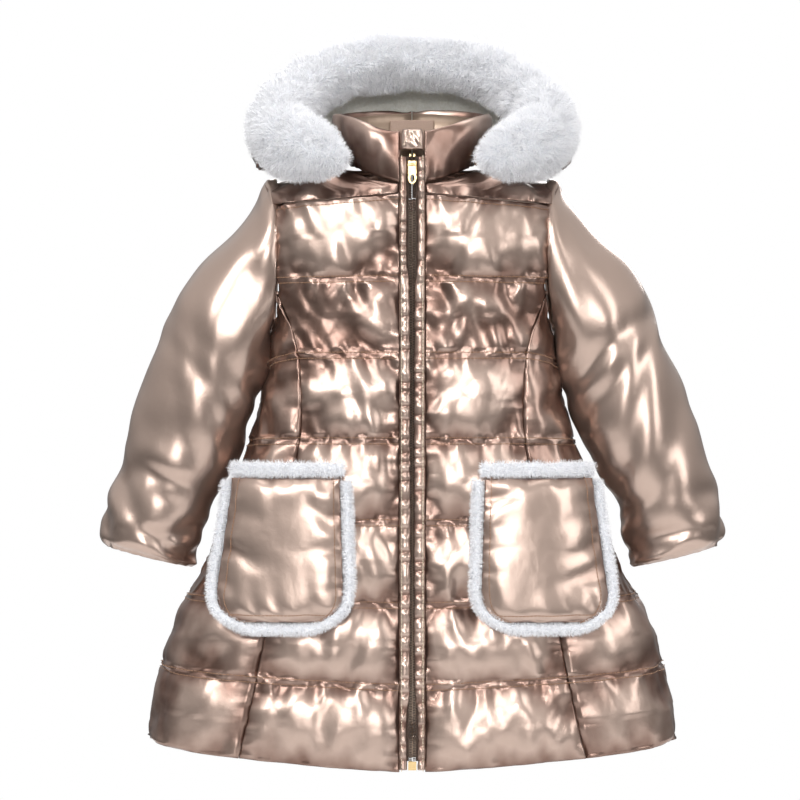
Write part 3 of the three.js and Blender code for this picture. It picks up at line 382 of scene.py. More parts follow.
def tube_mesh(name, loops, material, capped=True, puff=None):
    """A closed tube over matching loops; capped closes its two ends, else they join."""
    rows, around = loops.shape[:2]
    spans = rows - 1 if capped else rows
    r, c = np.meshgrid(np.arange(spans), np.arange(around), indexing="ij")
    r, c = r.ravel(), c.ravel()
    nr, nc = (r + 1) % rows, (c + 1) % around
    faces = np.stack([r * around + c, r * around + nc, nr * around + nc, nr * around + c], 1).tolist()
    if capped:
        faces.append(list(range(around))[::-1])
        faces.append([(rows - 1) * around + k for k in range(around)])
    run = np.linalg.norm(loops - np.roll(loops, 1, axis=1), axis=-1)
    climb = np.linalg.norm(np.diff(loops, axis=0), axis=-1)
    v = np.concatenate([np.zeros((1, around)), np.cumsum(climb, 0)], 0)
    uv = np.stack([np.cumsum(run, 1), v], -1)
    shade = None if puff is None else puff.ravel()
    return outward_faces(
        build_mesh(name, loops.reshape(-1, 3), faces, uv.reshape(-1, 2), material, True, shade)
    )


# %% [markdown]
# Padding is blown up by a cloth simulation. Each pad is a grid of vertices lying a little inside
# its finished face. The sewn lines are pinned, the cloth is cut slightly too large so that it
# puckers beside them, and an even pressure pushes the rest out. A cap keeps every pad near the
# thickness of the real wadding. Gravity is off, because the wadding carries the cloth.


# %% Blow up a pad
def inflate(points, normals, pins, cap, seed, grow=0.06, pressure=4.0, ring=False, stiffness=12.0):
    """Grid points in mm, after a seeded cloth simulation with its pinned vertices held."""
    rows, columns = points.shape[:2]
    rng = np.random.RandomState(seed)
    start = points + normals * rng.uniform(0, 0.25, (rows, columns, 1))
    count = columns if ring else columns - 1
    r, c = np.meshgrid(np.arange(rows - 1), np.arange(count), indexing="ij")
    r, c = r.ravel(), c.ravel()
    nc = (c + 1) % columns
    faces = np.stack(
        [r * columns + c, r * columns + nc, (r + 1) * columns + nc, (r + 1) * columns + c], 1
    )
    sample = faces[len(faces) // 2]
    flat = start.reshape(-1, 3)
    facing = np.cross(flat[sample[1]] - flat[sample[0]], flat[sample[3]] - flat[sample[0]])
    if facing @ normals.reshape(-1, 3)[sample[0]] < 0:
        faces = faces[:, ::-1]
    obj = build_mesh("pad_in_work", flat / 1000.0, faces.tolist())
    group = obj.vertex_groups.new(name="sewn")
    weights = pins.ravel()
    for k in np.nonzero(weights > 0.01)[0]:
        group.add([int(k)], float(weights[k]), "REPLACE")
    cloth = obj.modifiers.new("Cloth", "CLOTH")
    settings = cloth.settings
    settings.quality = 5
    settings.mass = 0.3
    settings.tension_stiffness = stiffness
    settings.compression_stiffness = stiffness
    settings.shear_stiffness = 5
    settings.bending_stiffness = 0.6
    settings.use_pressure = True
    settings.uniform_pressure_force = pressure
    settings.effector_weights.gravity = 0
    settings.vertex_group_mass = "sewn"
    settings.pin_stiffness = 1.0
    settings.shrink_min = -grow
    cloth.collision_settings.use_collision = False
    cloth.point_cache.frame_start = 1
    cloth.point_cache.frame_end = 20
    scene = bpy.context.scene
    for step in range(1, 21):
        scene.frame_set(step)
    settled = obj.evaluated_get(bpy.context.evaluated_depsgraph_get()).to_mesh()
    result = np.empty(len(settled.vertices) * 3, np.float32)
    settled.vertices.foreach_get("co", result)
    scene.frame_set(1)
    mesh = obj.data
    bpy.data.objects.remove(obj)
    bpy.data.meshes.remove(mesh)
    move = result.reshape(rows, columns, 3).astype(float) * 1000.0 - points
    out = (move * normals).sum(-1, keepdims=True)
    along = move - out * normals
    reach = np.linalg.norm(along, axis=-1, keepdims=True)
    along *= np.minimum(1, 0.45 * cap / np.maximum(reach, 1e-9))
    free = (1 - pins)[..., None]
    soft = cap * np.tanh(np.maximum(out, -0.15 * cap) / cap)
    settled = points + (normals * soft + along) * free
    for _ in range(2):  # wadding rounds off creases finer than itself
        near = settled.copy()
        near[1:-1] = (settled[:-2] + settled[2:]) / 4 + settled[1:-1] / 2
        if ring:
            near = (np.roll(near, 1, 1) + np.roll(near, -1, 1)) / 4 + near / 2
        else:
            inner = near.copy()
            inner[:, 1:-1] = (near[:, :-2] + near[:, 2:]) / 4 + near[:, 1:-1] / 2
            near = inner
        settled = settled + (near - settled) * free
    return settled

# %% [markdown]
# Materials. Each begins from the real finish: metal-coated polyester, boucle-like fur pile, brushed
# fleece, spun thread, woven tape, moulded coil, plated zinc and aged brass. Colours are sRGB hex
# values turned to linear by one function, and one helper adds a node with its settings and links.


# %% Material helpers
def hex_colour(code):
    parts = [int(code[k : k + 2], 16) / 255 for k in (1, 3, 5)]
    return tuple(c / 12.92 if c <= 0.04045 else ((c + 0.055) / 1.055) ** 2.4 for c in parts) + (
        1.0,
    )


def add_node(tree, kind, settings=None, **links):
    """A node with its attributes or sockets set; links name a socket and give another's output."""
    node = tree.nodes.new(kind)
    for key, value in (settings or {}).items():
        if isinstance(key, str) and hasattr(node, key) and key not in node.inputs:
            setattr(node, key, value)
        else:
            node.inputs[key].default_value = value
    for key, source in links.items():
        socket = node.inputs[int(key[1:])] if key[0] == "i" and key[1:].isdigit() else node.inputs[
            key.replace("_", " ")
        ]
        tree.links.new(source, socket)
    return node


def new_material(name, **values):
    material = bpy.data.materials.new(name)
    material.use_nodes = True
    tree = material.node_tree
    shader = tree.nodes["Principled BSDF"]
    for key, value in values.items():
        shader.inputs[key.replace("_", " ")].default_value = value
    material.diffuse_color = shader.inputs["Base Color"].default_value
    return material, tree, shader


def ramp(tree, factor, stops):
    node = add_node(tree, "ShaderNodeValToRGB", {}, Fac=factor)
    elements = node.color_ramp.elements
    while len(elements) < len(stops):
        elements.new(0.5)
    for element, (place, colour) in zip(elements, stops):
        element.position = place
        element.color = hex_colour(colour) if isinstance(colour, str) else (
            colour, colour, colour, 1
        )
    return node


print("light tone of the coated cloth, linear:", [round(c, 3) for c in hex_colour("#BDA699")[:3]])

# %% [markdown]
# The shell is polyester coated with a thin metal film. It gives broad bright highlights and a skin
# of fine creases. Its colour carries painted shade: darker and more copper where the padding sinks
# into a seam or fold, lighter on the puffs, with a broad random change of tone. The creases come from
# noise at 14 mm and 5 mm, and the weave, about 0.35 mm on the real cloth, is drawn at 0.9 mm so that
# it can be seen.


# %% Coated cloth
def coated_cloth(name, low, high, rough, creases=0.5):
    material, tree, shader = new_material(
        name, Metallic=0.86, Coat_Weight=0.3, Coat_Roughness=0.22, Roughness=rough,
        Base_Color=hex_colour(high)
    )
    place = add_node(tree, "ShaderNodeTexCoord").outputs["Object"]
    # Painted shade: the puff attribute, low where the padding sinks into a seam or fold, pulls the colour to the
    # dark copper low tone.
    puff = add_node(tree, "ShaderNodeAttribute", {"attribute_name": "puff"}).outputs["Fac"]
    broad = add_node(
        tree, "ShaderNodeTexNoise", {"Scale": 26.0, "Detail": 3.0, "Roughness": 0.6}, Vector=place
    )
    blend = add_node(
        tree, "ShaderNodeMath", {"operation": "MULTIPLY_ADD", 1: 0.7}, i0=broad.outputs["Fac"],
        i2=puff
    )
    tone = add_node(tree, "ShaderNodeMath", {"operation": "MULTIPLY", 1: 0.62}, i0=blend.outputs[0])
    colours = ramp(tree, tone.outputs[0], [(0.12, low), (0.62, high)])
    tree.links.new(colours.outputs["Color"], shader.inputs["Base Color"])
    stretch = add_node(tree, "ShaderNodeMapping", {"Scale": (1.0, 1.0, 0.62)}, Vector=place)
    large = add_node(
        tree, "ShaderNodeTexNoise",
        {"Scale": 1000 / 14, "Detail": 1.5, "Roughness": 0.5, "Distortion": 0.5}, Vector=stretch.outputs[
            0
        ],
    )
    small = add_node(
        tree, "ShaderNodeTexNoise",
        {"Scale": 1000 / 5, "Detail": 3.0, "Roughness": 0.6, "Distortion": 0.8}, Vector=place,
    )
    both = add_node(
        tree, "ShaderNodeMath", {"operation": "MULTIPLY_ADD", 1: 0.3}, i0=small.outputs["Fac"],
        i2=large.outputs["Fac"]
    )
    crease = add_node(
        tree, "ShaderNodeBump", {"Strength": creases, "Distance": 0.0006}, Height=both.outputs[0]
    )
    weave = add_node(
        tree, "ShaderNodeTexVoronoi", {"Scale": 1000 / 0.9, "feature": "F1", "distance": "CHEBYCHEV"}, Vector=place
    )
    fine = add_node(
        tree, "ShaderNodeBump", {"Strength": 0.1, "Distance": 0.0002},
        Height=weave.outputs["Distance"], Normal=crease.outputs[0],
    )
    tree.links.new(fine.outputs[0], shader.inputs["Normal"])
    return material


# Each coated cloth's first colour is painted shade for its seams and folds; the second is its tone on the puffs.
COATED = coated_cloth("Metal-coated polyester, rose gold", "#6E5044", "#BDA699", 0.3)
COATED_SLEEVE = coated_cloth("Metal-coated polyester, sleeve", "#755649", "#BEA79A", 0.29, 0.4)
# The facings' copy is the same coated cloth made darker, as painted shade for its places inside the cuffs, collar
# and hem and under the fur.
COATED_SHADED_TRIM = coated_cloth("Metal-coated polyester, facings, painted shade", "#5E463A", "#94806F", 0.42, 0.5)
print("coated cloth materials:", 3)

# %% [markdown]
# The soft finishes. The lining is thin taffeta. Fur pile scatters light with no gloss; its blades
# are painted a cool grey at the root, as painted shade deep in the pile, and whiter at the tips.
# Fleece is short brushed pile in small curls about 3 mm across.


# %% Lining, fur, fleece, thread, tape
def soft_cloth(name, dark, light, grain_mm, depth, rough=0.9, sheen=0.25):
    material, tree, shader = new_material(
        name, Roughness=rough, Sheen_Weight=sheen, Sheen_Roughness=0.5, Base_Color=hex_colour(light)
    )
    place = add_node(tree, "ShaderNodeTexCoord").outputs["Object"]
    grain = add_node(
        tree, "ShaderNodeTexNoise", {"Scale": 1000 / grain_mm, "Detail": 3.0, "Roughness": 0.65}, Vector=place
    )
    colours = ramp(tree, grain.outputs["Fac"], [(0.3, dark), (0.68, light)])
    tree.links.new(colours.outputs["Color"], shader.inputs["Base Color"])
    bump = add_node(
        tree, "ShaderNodeBump", {"Strength": 0.8, "Distance": depth}, Height=grain.outputs["Fac"]
    )
    tree.links.new(bump.outputs[0], shader.inputs["Normal"])
    return material


def pile(name, root_shade, tip):
    """Fur strands: the strand attribute runs from 0 at the skin to 1 at the tip; the colour is darker towards the
    skin as painted shade.
    """
    material, tree, shader = new_material(
        name, Roughness=0.75, Sheen_Weight=0.3, Sheen_Roughness=0.4, Base_Color=hex_colour(tip)
    )
    along = add_node(tree, "ShaderNodeAttribute", {"attribute_name": "strand"}).outputs["Fac"]
    colours = ramp(tree, along, [(0.0, root_shade), (0.65, tip)])
    tree.links.new(colours.outputs["Color"], shader.inputs["Base Color"])
    return material


LINING = soft_cloth("Lining taffeta, warm beige", "#B09A86", "#CDB9A6", 1.2, 0.0003, 0.6, 0.1)
FUR_SKIN = soft_cloth("Fur backing and underpile", "#D3D6DC", "#EDEEF1", 3.5, 0.002)
# The first colour is painted shade at the roots of the blades.
FUR = pile("Faux fur pile, white", "#CFD3DB", "#F6F6F8")
FLEECE = soft_cloth("Brushed fleece, cream", "#F1EDE2", "#FFFDF6", 3.2, 0.0012, 0.95, 0.7)
THREAD, _, _ = new_material(
    "Spun thread, copper brown", Base_Color=hex_colour("#8F6A4E"), Roughness=0.55, Sheen_Weight=0.2
)
THREAD_PALE, _, _ = new_material(
    "Spun thread, beige", Base_Color=hex_colour("#D9C9AE"), Roughness=0.6, Sheen_Weight=0.2
)
TAPE = soft_cloth("Woven zip tape, dark brown", "#2E211A", "#4A382D", 0.9, 0.0003)
COIL, _, _ = new_material(
    "Moulded nylon coil, dark brown", Base_Color=hex_colour("#3E3027"), Roughness=0.32, IOR=1.53
)
LABEL = soft_cloth("Woven label satin, beige", "#8F7565", "#A68C7B", 0.8, 0.0002, 0.5, 0.1)


def metal(name, colour, rough, pits):
    material, tree, shader = new_material(
        name, Base_Color=hex_colour(colour), Metallic=1.0, Roughness=rough
    )
    place = add_node(tree, "ShaderNodeTexCoord").outputs["Object"]
    grain = add_node(tree, "ShaderNodeTexNoise", {"Scale": 1000 / 1.5, "Detail": 2.0}, Vector=place)
    change = add_node(
        tree, "ShaderNodeMapRange", {"To Min": rough - 0.06, "To Max": rough + 0.1}, Value=grain.outputs[
            "Fac"
        ]
    )
    tree.links.new(change.outputs["Result"], shader.inputs["Roughness"])
    bump = add_node(
        tree, "ShaderNodeBump", {"Strength": pits, "Distance": 0.0001}, Height=grain.outputs["Fac"]
    )
    tree.links.new(bump.outputs[0], shader.inputs["Normal"])
    return material


PALE_GOLD = metal("Plated zinc, pale gold", "#CDB283", 0.32, 0.1)
AGED_BRASS = metal("Aged brass", "#86694A", 0.38, 0.4)
print("materials made:", len(bpy.data.materials))

# %% [markdown]
# Stitches and zip teeth repeat hundreds of times, so Geometry Nodes lay them. One tree takes a
# path, resamples it at the stitch pitch, and sets a small rounded bar along it at every point.


# %% The repeat-along-a-path tree
def path_object(name, paths):
    """Edges along rows of points in millimetres, each row one path."""
    points, edges = [], []
    for row in paths:
        first = len(points)
        points += [tuple(p) for p in to_frame(row)]
        edges += [(first + k, first + k + 1) for k in range(len(row) - 1)]
    mesh = bpy.data.meshes.new(name)
    mesh.from_pydata(points, edges, [])
    obj = bpy.data.objects.new(name, mesh)
    bpy.context.scene.collection.objects.link(obj)
    return obj


def new_tree(name, sizes):
    tree = bpy.data.node_groups.new(name, "GeometryNodeTree")
    tree.interface.new_socket("Geometry", in_out="INPUT", socket_type="NodeSocketGeometry")
    for label, default in sizes.items():
        socket = tree.interface.new_socket(label, in_out="INPUT", socket_type="NodeSocketFloat")
        socket.default_value = default
    tree.interface.new_socket("Geometry", in_out="OUTPUT", socket_type="NodeSocketGeometry")
    return tree


def stitch_tree(material):
    tree = new_tree(
        "Bars along a path", {"Pitch": 0.0035, "Bar Length": 0.0028, "Bar Radius": 0.0004}
    )
    given = add_node(tree, "NodeGroupInput").outputs
    curve = add_node(tree, "GeometryNodeMeshToCurve", {}, Mesh=given["Geometry"])
    spaced = add_node(
        tree, "GeometryNodeResampleCurve", {"mode": "LENGTH"}, Curve=curve.outputs[0],
        Length=given["Pitch"]
    )
    bar = add_node(
        tree, "GeometryNodeMeshCylinder", {"Vertices": 5, "Side Segments": 2},
        Radius=given["Bar Radius"], Depth=given["Bar Length"],
    )
    tangent = add_node(tree, "GeometryNodeInputTangent")
    turn = add_node(
        tree, "FunctionNodeAlignEulerToVector", {"axis": "Z"}, Vector=tangent.outputs[0]
    )
    laid = add_node(
        tree, "GeometryNodeInstanceOnPoints", {},
        Points=spaced.outputs[0], Instance=bar.outputs["Mesh"], Rotation=turn.outputs[0],
    )
    real = add_node(tree, "GeometryNodeRealizeInstances", {}, Geometry=laid.outputs[0])
    done = add_node(
        tree, "GeometryNodeSetMaterial", {"Material": material}, Geometry=real.outputs[0]
    )
    add_node(tree, "NodeGroupOutput", {}, Geometry=done.outputs[0])
    return tree


def run_tree(obj, tree, inputs, name):
    """The tree's result as a plain mesh under a new name; the object it grew from is removed."""
    modifier = obj.modifiers.new("Grow", "NODES")
    modifier.node_group = tree
    for item in tree.interface.items_tree:
        if item.in_out == "INPUT" and item.name in inputs:
            modifier[item.identifier] = inputs[item.name]
    graph = bpy.context.evaluated_depsgraph_get()
    mesh = bpy.data.meshes.new_from_object(obj.evaluated_get(graph), depsgraph=graph)
    old = obj.data
    bpy.data.objects.remove(obj)
    bpy.data.meshes.remove(old)
    mesh.name = name
    result = bpy.data.objects.new(name, mesh)
    bpy.context.scene.collection.objects.link(result)
    return result


TREE_THREAD = stitch_tree(THREAD)
TREE_PALE = stitch_tree(THREAD_PALE)


def stitches(
    name, paths, body, tree=None, pitch=3.6, length=2.9, radius=0.42
):
    obj = run_tree(
        path_object(name, paths), tree or TREE_THREAD,
        {"Pitch": pitch / 1000, "Bar Length": length / 1000, "Bar Radius": radius / 1000}, name,
    )
    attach(obj, body)
    return obj


# %% [markdown]
# Fur is grown the same way: points scattered evenly over a skin, and on each a thin bent blade
# that leans out along the skin's normal with a seeded, clumped scatter. A blade is two faces,
# because there are tens of thousands of them.


# %% The fur tree
def fur_tree():
    tree = new_tree(
        "Fur pile", {"Density": 900000.0, "Pile Length": 0.011, "Blade Width": 0.0007, "Seed": 1.0}
    )
    given = add_node(tree, "NodeGroupInput").outputs
    scatter = add_node(
        tree, "GeometryNodeDistributePointsOnFaces", {"distribute_method": "RANDOM"},
        Mesh=given["Geometry"], Density=given["Density"], Seed=given["Seed"],
    )
    blade = add_node(
        tree, "GeometryNodeMeshGrid", {
            "Size X": 1.0, "Size Y": 1.0, "Vertices X": 2, "Vertices Y": 3
        }
    )
    spot = add_node(tree, "GeometryNodeInputPosition")
    split = add_node(tree, "ShaderNodeSeparateXYZ", {}, Vector=spot.outputs[0])
    up = add_node(tree, "ShaderNodeMath", {"operation": "ADD", 1: 0.5}, i0=split.outputs["Y"])
    taper = add_node(
        tree, "ShaderNodeMath", {"operation": "MULTIPLY_ADD", 1: -0.85, 2: 1.0}, i0=up.outputs[0]
    )
    narrow = add_node(
        tree, "ShaderNodeMath", {"operation": "MULTIPLY"}, i0=split.outputs["X"],
        i1=taper.outputs[0]
    )
    bend = add_node(tree, "ShaderNodeMath", {"operation": "POWER", 1: 2.0}, i0=up.outputs[0])
    lean = add_node(tree, "ShaderNodeMath", {"operation": "MULTIPLY", 1: 0.35}, i0=bend.outputs[0])
    shaped = add_node(
        tree, "ShaderNodeCombineXYZ", {}, X=narrow.outputs[0], Y=lean.outputs[0], Z=up.outputs[0]
    )
    bent = add_node(
        tree, "GeometryNodeSetPosition", {}, Geometry=blade.outputs["Mesh"],
        Position=shaped.outputs[0]
    )
    marked = add_node(
        tree, "GeometryNodeStoreNamedAttribute", {
            "data_type": "FLOAT", "domain": "POINT", "Name": "strand"
        },
        Geometry=bent.outputs[0],
    )
    tree.links.new(up.outputs[0], marked.inputs["Value"])
    clump = add_node(tree, "ShaderNodeTexNoise", {"Scale": 95.0, "Detail": 1.0})
    centred = add_node(
        tree, "ShaderNodeVectorMath", {"operation": "SUBTRACT", 1: (0.5, 0.5, 0.5)},
        i0=clump.outputs["Color"]
    )
    swept = add_node(
        tree, "ShaderNodeVectorMath", {"operation": "SCALE", "Scale": 2.2}, i0=centred.outputs[0]
    )
    jitter = add_node(
        tree, "FunctionNodeRandomValue",
        {"data_type": "FLOAT_VECTOR", 0: (-0.3, -0.3, -0.42), 1: (0.3, 0.3, 0.18), "Seed": 7},
    )
    aimed = add_node(
        tree, "ShaderNodeVectorMath", {"operation": "ADD"}, i0=scatter.outputs["Normal"],
        i1=swept.outputs[0]
    )
    aimed = add_node(
        tree, "ShaderNodeVectorMath", {"operation": "ADD"}, i0=aimed.outputs[0],
        i1=jitter.outputs[0]
    )
    stand = add_node(tree, "FunctionNodeAlignEulerToVector", {"axis": "Z"}, Vector=aimed.outputs[0])
    spin = add_node(
        tree, "FunctionNodeRandomValue", {"data_type": "FLOAT", 2: 0.0, 3: 6.283, "Seed": 3}
    )
    twist = add_node(tree, "ShaderNodeCombineXYZ", {}, Z=spin.outputs[1])
    turned = add_node(
        tree, "FunctionNodeRotateEuler", {"rotation_type": "EULER", "space": "LOCAL"},
        Rotation=stand.outputs[0], Rotate_By=twist.outputs[0],
    )
    uneven = add_node(
        tree, "FunctionNodeRandomValue", {"data_type": "FLOAT", 2: 0.6, 3: 1.0, "Seed": 11}
    )
    tall = add_node(
        tree, "ShaderNodeMath", {"operation": "MULTIPLY"}, i0=given["Pile Length"],
        i1=uneven.outputs[1]
    )
    size = add_node(
        tree, "ShaderNodeCombineXYZ", {}, X=given["Blade Width"], Y=given["Pile Length"],
        Z=tall.outputs[0]
    )
    laid = add_node(
        tree, "GeometryNodeInstanceOnPoints", {},
        Points=scatter.outputs["Points"], Instance=marked.outputs[0], Rotation=turned.outputs[0], Scale=size.outputs[
            0
        ],
    )
    real = add_node(tree, "GeometryNodeRealizeInstances", {}, Geometry=laid.outputs[0])
    done = add_node(tree, "GeometryNodeSetMaterial", {"Material": FUR}, Geometry=real.outputs[0])
    add_node(tree, "NodeGroupOutput", {}, Geometry=done.outputs[0])
    return tree


TREE_FUR = fur_tree()


def grow_fur(name, skin, body, density, length, width, seed):
    """Fur over a copy of a skin's mesh, riding on the skin's body."""
    copy = skin.copy()
    copy.data = skin.data.copy()
    copy.name = name + "_work"
    bpy.context.scene.collection.objects.link(copy)
    obj = run_tree(
        copy, TREE_FUR,
        {"Density": density * 1e6, "Pile Length": length / 1000, "Blade Width": width / 1000, "Seed": float(seed)}, name,
    )
    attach(obj, body)
    print(name, "blades' faces:", len(obj.data.polygons))
    return obj


# %% [markdown]
# The quilted body panels. Wadding lies between the shell and its backing in channels about 80 mm
# tall, closed by double rows of stitching 6 mm apart. The rows run right round the coat, so all
# the panels share one table of rows. Fine puckers, 9 mm long waves that die away from a seam,
# are added after the simulation, since they are smaller than its cloth grid.


# %% Quilted panels
def spaced(levels, gap, even=True):
    rows = [levels[0]]
    for low, high in zip(levels, levels[1:]):
        count = max(int(round((high - low) / gap)), 1)
        rows += list(np.linspace(low, high, count + 1)[1:])
    if even and (len(rows) - 1) % 2:
        rows = rows[:-1] + [(rows[-2] + rows[-1]) / 2, rows[-1]]
    return np.array(rows)


QUILT_GAP = 3.0  # half the distance between the two rows of a double row
QUILT_LINES = [q + s for q in QUILT_ROWS for s in (-QUILT_GAP, QUILT_GAP)]
ROWS = spaced([1.5] + QUILT_LINES + [568.5], 5.6)


def near_sewn(levels, lines, scale):
    """1 on a sewn line, falling off over scale millimetres, and the number of the nearest line."""
    gap = np.abs(levels[:, None] - np.asarray(lines)[None])
    return np.exp(-gap.min(1) / scale), gap.argmin(1) + np.where(
        levels > np.asarray(lines)[gap.argmin(1)], 50, 0
    )


def puckered(points, normals, levels, run, seed, amount=1.5, lines=None, edges=True):
    """Short waves across the sewn rows and along the side seams."""
    lines = QUILT_LINES + [levels[0], levels[-1]] if lines is None else lines
    fade, which = near_sewn(levels, lines, 24.0)
    short, _ = near_sewn(levels, lines, 6.0)
    lean = levels[:, None] / 45.0
    wave = smooth_noise(run / 11.0 + lean, which[:, None] * 7.3, seed)
    wave += 0.8 * smooth_noise(run / 18.0 - lean, which[:, None] * 3.1, seed + 1)
    tight = smooth_noise(run / 4.6, which[:, None] * 5.7, seed + 4)
    height = amount * (1.8 * fade[:, None] * wave + 0.55 * short[:, None] * tight)
    if edges:
        reach = np.minimum(run - run[:, :1], run[:, -1:] - run)
        left = (run - run[:, :1]) < (run[:, -1:] - run)
        side = smooth_noise(levels[:, None] / 5.5, np.where(left, 3.0, 9.0), seed + 2)
        height = height + amount * 0.8 * np.exp(-reach / 9.0) * side
    return points + normals * height[..., None]


def along_rows(points):
    run = np.linalg.norm(np.diff(points, axis=1), axis=-1)
    return np.concatenate([np.zeros((points.shape[0], 1)), np.cumsum(run, 1)], 1)


def princess(height, shift):
    return np.minimum(
        turn_at(read_table(PRINCESS_WIDTHS, height) + shift, height), side_turn(height)
    )


def front_panel_end(height):
    tip = side_turn(height) - 3.3 / half_width(height)
    return np.where(height < 480, np.minimum(princess(height, -0.3), tip), side_turn(height))


SEAM_DEPTH = 4.6  # the sewn lines lie this far inside the plain surface
CROWN = 12.0  # the cap on the padding's rise above them


def quilted_panel(
    node, start, end, facing, side, columns, levels, seed, top=None, body="coat_body"
):
    shares = np.linspace(0, 1, columns)[None, :]
    level = levels[:, None] * np.ones((1, columns))
    height = level.copy()
    for _ in range(3):
        turn = mix(start(height), end(height), shares)
        height = row_height(level, turn)
    if top is not None:
        turn, height = top(turn, height, shares, level)
    points, normals = body_place(turn * side, height, facing)
    lines = QUILT_ROWS + [levels[0], levels[-1]]
    apart = np.abs(level[..., None] - np.array(lines)).min(-1)
    run = along_rows(points)
    slant = np.where(np.floor(level / 82.0) % 2 > 0, 1.0, -1.0) * level / 62.0
    fold = smooth_noise(run / 21.0 + slant, level / 150.0, seed + 8)
    fold = 4.6 * (np.abs(fold) ** 0.8 - 0.42) * (1 - np.exp(-apart / 9.0)) * np.minimum(
        1, np.minimum(shares, 1 - shares) / 0.1
    )
    base = points - normals * (SEAM_DEPTH - fold[..., None])
    pins = edge_pins(points)
    for line in QUILT_LINES:
        if levels[-1] > line:
            pins[np.argmin(np.abs(levels - line))] = 1
    if facing * side < 0:
        base, normals, pins = base[:, ::-1], normals[:, ::-1], pins[:, ::-1]
    swollen = inflate(base, normals, pins, CROWN, seed, grow=0.045)
    fine, fine_base = finer(swollen), finer(base)
    fine_normals = finer(normals)
    fine_normals = unit(fine_normals)
    fine_levels = finer(np.repeat(levels[:, None, None], 3, 1))[:, 0, 0]
    fine = puckered(fine, fine_normals, fine_levels, along_rows(fine_base), seed)
    rise = ((fine - fine_base) * fine_normals).sum(-1)
    # Painted shade: the colour darkens where the padding sinks towards its sewn rows.
    puff = np.clip(rise / 8.0, 0, 1)
    inner = fine_base - fine_normals * (WALL - SEAM_DEPTH)
    obj = pad_mesh(node + "_quilted", to_frame(fine), to_frame(inner), COATED, 4, puff)
    dress(obj, node, body)
    rows_at = {}
    for line in QUILT_LINES:
        if fine_levels[-1] > line:
            k = int(np.argmin(np.abs(fine_levels - line)))
            rows_at[line] = fine[k] + fine_normals[k] * 0.25
    if node in ("left_front_panel", "right_front_panel", "back_panel"):
        rows_at["yoke"] = fine[-4] + fine_normals[-4] * 0.4
    print(node, "rises to", round(float(rise.max()), 1), "mm, faces", len(obj.data.polygons))
    return list(rows_at.values())


def front_edge(height):
    return turn_at(PLACKET_EDGE + 0.6, height)


thread_paths = []
for hand, side in (("left", 1), ("right", -1)):
    panel = quilted_panel(
        f"{hand}_front_panel", front_edge, front_panel_end, 1, side, 41, ROWS, 11 + side
    )
    thread_paths += panel
panel = quilted_panel(
    "back_panel", lambda h: -front_panel_end(h), front_panel_end, -1, 1, 73, ROWS, 21
)
thread_paths += panel


def under_armhole(turn, height, shares, level):
    """Above the armpit a side panel runs up the front of the armhole to a narrow tip."""
    top = mix(474.0, 433.0, shares) * np.ones_like(height)
    climb = np.clip(level / ROWS_SIDE[-1], 0, 1)
    height = height * (top / ROWS_SIDE[-1] * climb**6 + (1 - climb**6))
    share = (
        shares + (1 - shares) * np.clip((height - 433.0) / np.maximum(top - 433.0, 1.0), 0, 1) ** 2
    )
    start = np.minimum(princess(height, 0.3), side_turn(height) - 3.0 / half_width(height))
    return mix(start, side_turn(height) - 0.3 / half_width(height), share), height


ROWS_SIDE = spaced([1.5] + QUILT_LINES[:10] + [474.0], 5.6)
for hand, side in (("left", 1), ("right", -1)):
    for part, facing in (("front", 1), ("back", -1)):
        panel = quilted_panel(
            f"{hand}_{part}_side_panel", lambda h: princess(h, 0.3), lambda h: side_turn(h) - 0.3 / half_width(
                h
            ),
            facing, side, 21, ROWS_SIDE, 31 + side + 3 * facing, under_armhole,
        )
        thread_paths += panel
print("quilting rows:", len(thread_paths))

# %% [markdown]
# Above the yoke seam the shell is not quilted. Each yoke is one pad between the yoke seam, the
# armhole, the shoulder seam and the neck, blended from those four edges. Its lower edge is
# gathered into the seam, which shows as short upright folds.


# %% Yokes
def neck_point(turn):
    turn = np.asarray(turn, float)
    front = turn < np.pi / 2
    at_front, at_side, at_back = NECK_HEIGHTS
    depth = np.where(front, half_depth(at_front), NECK_BACK_DEPTH)
    height = mix(np.where(front, at_front, at_back), at_side, np.sin(turn) ** 2)
    return np.stack([NECK_HALF_WIDTH * np.sin(turn), -depth * np.cos(turn), height], -1)


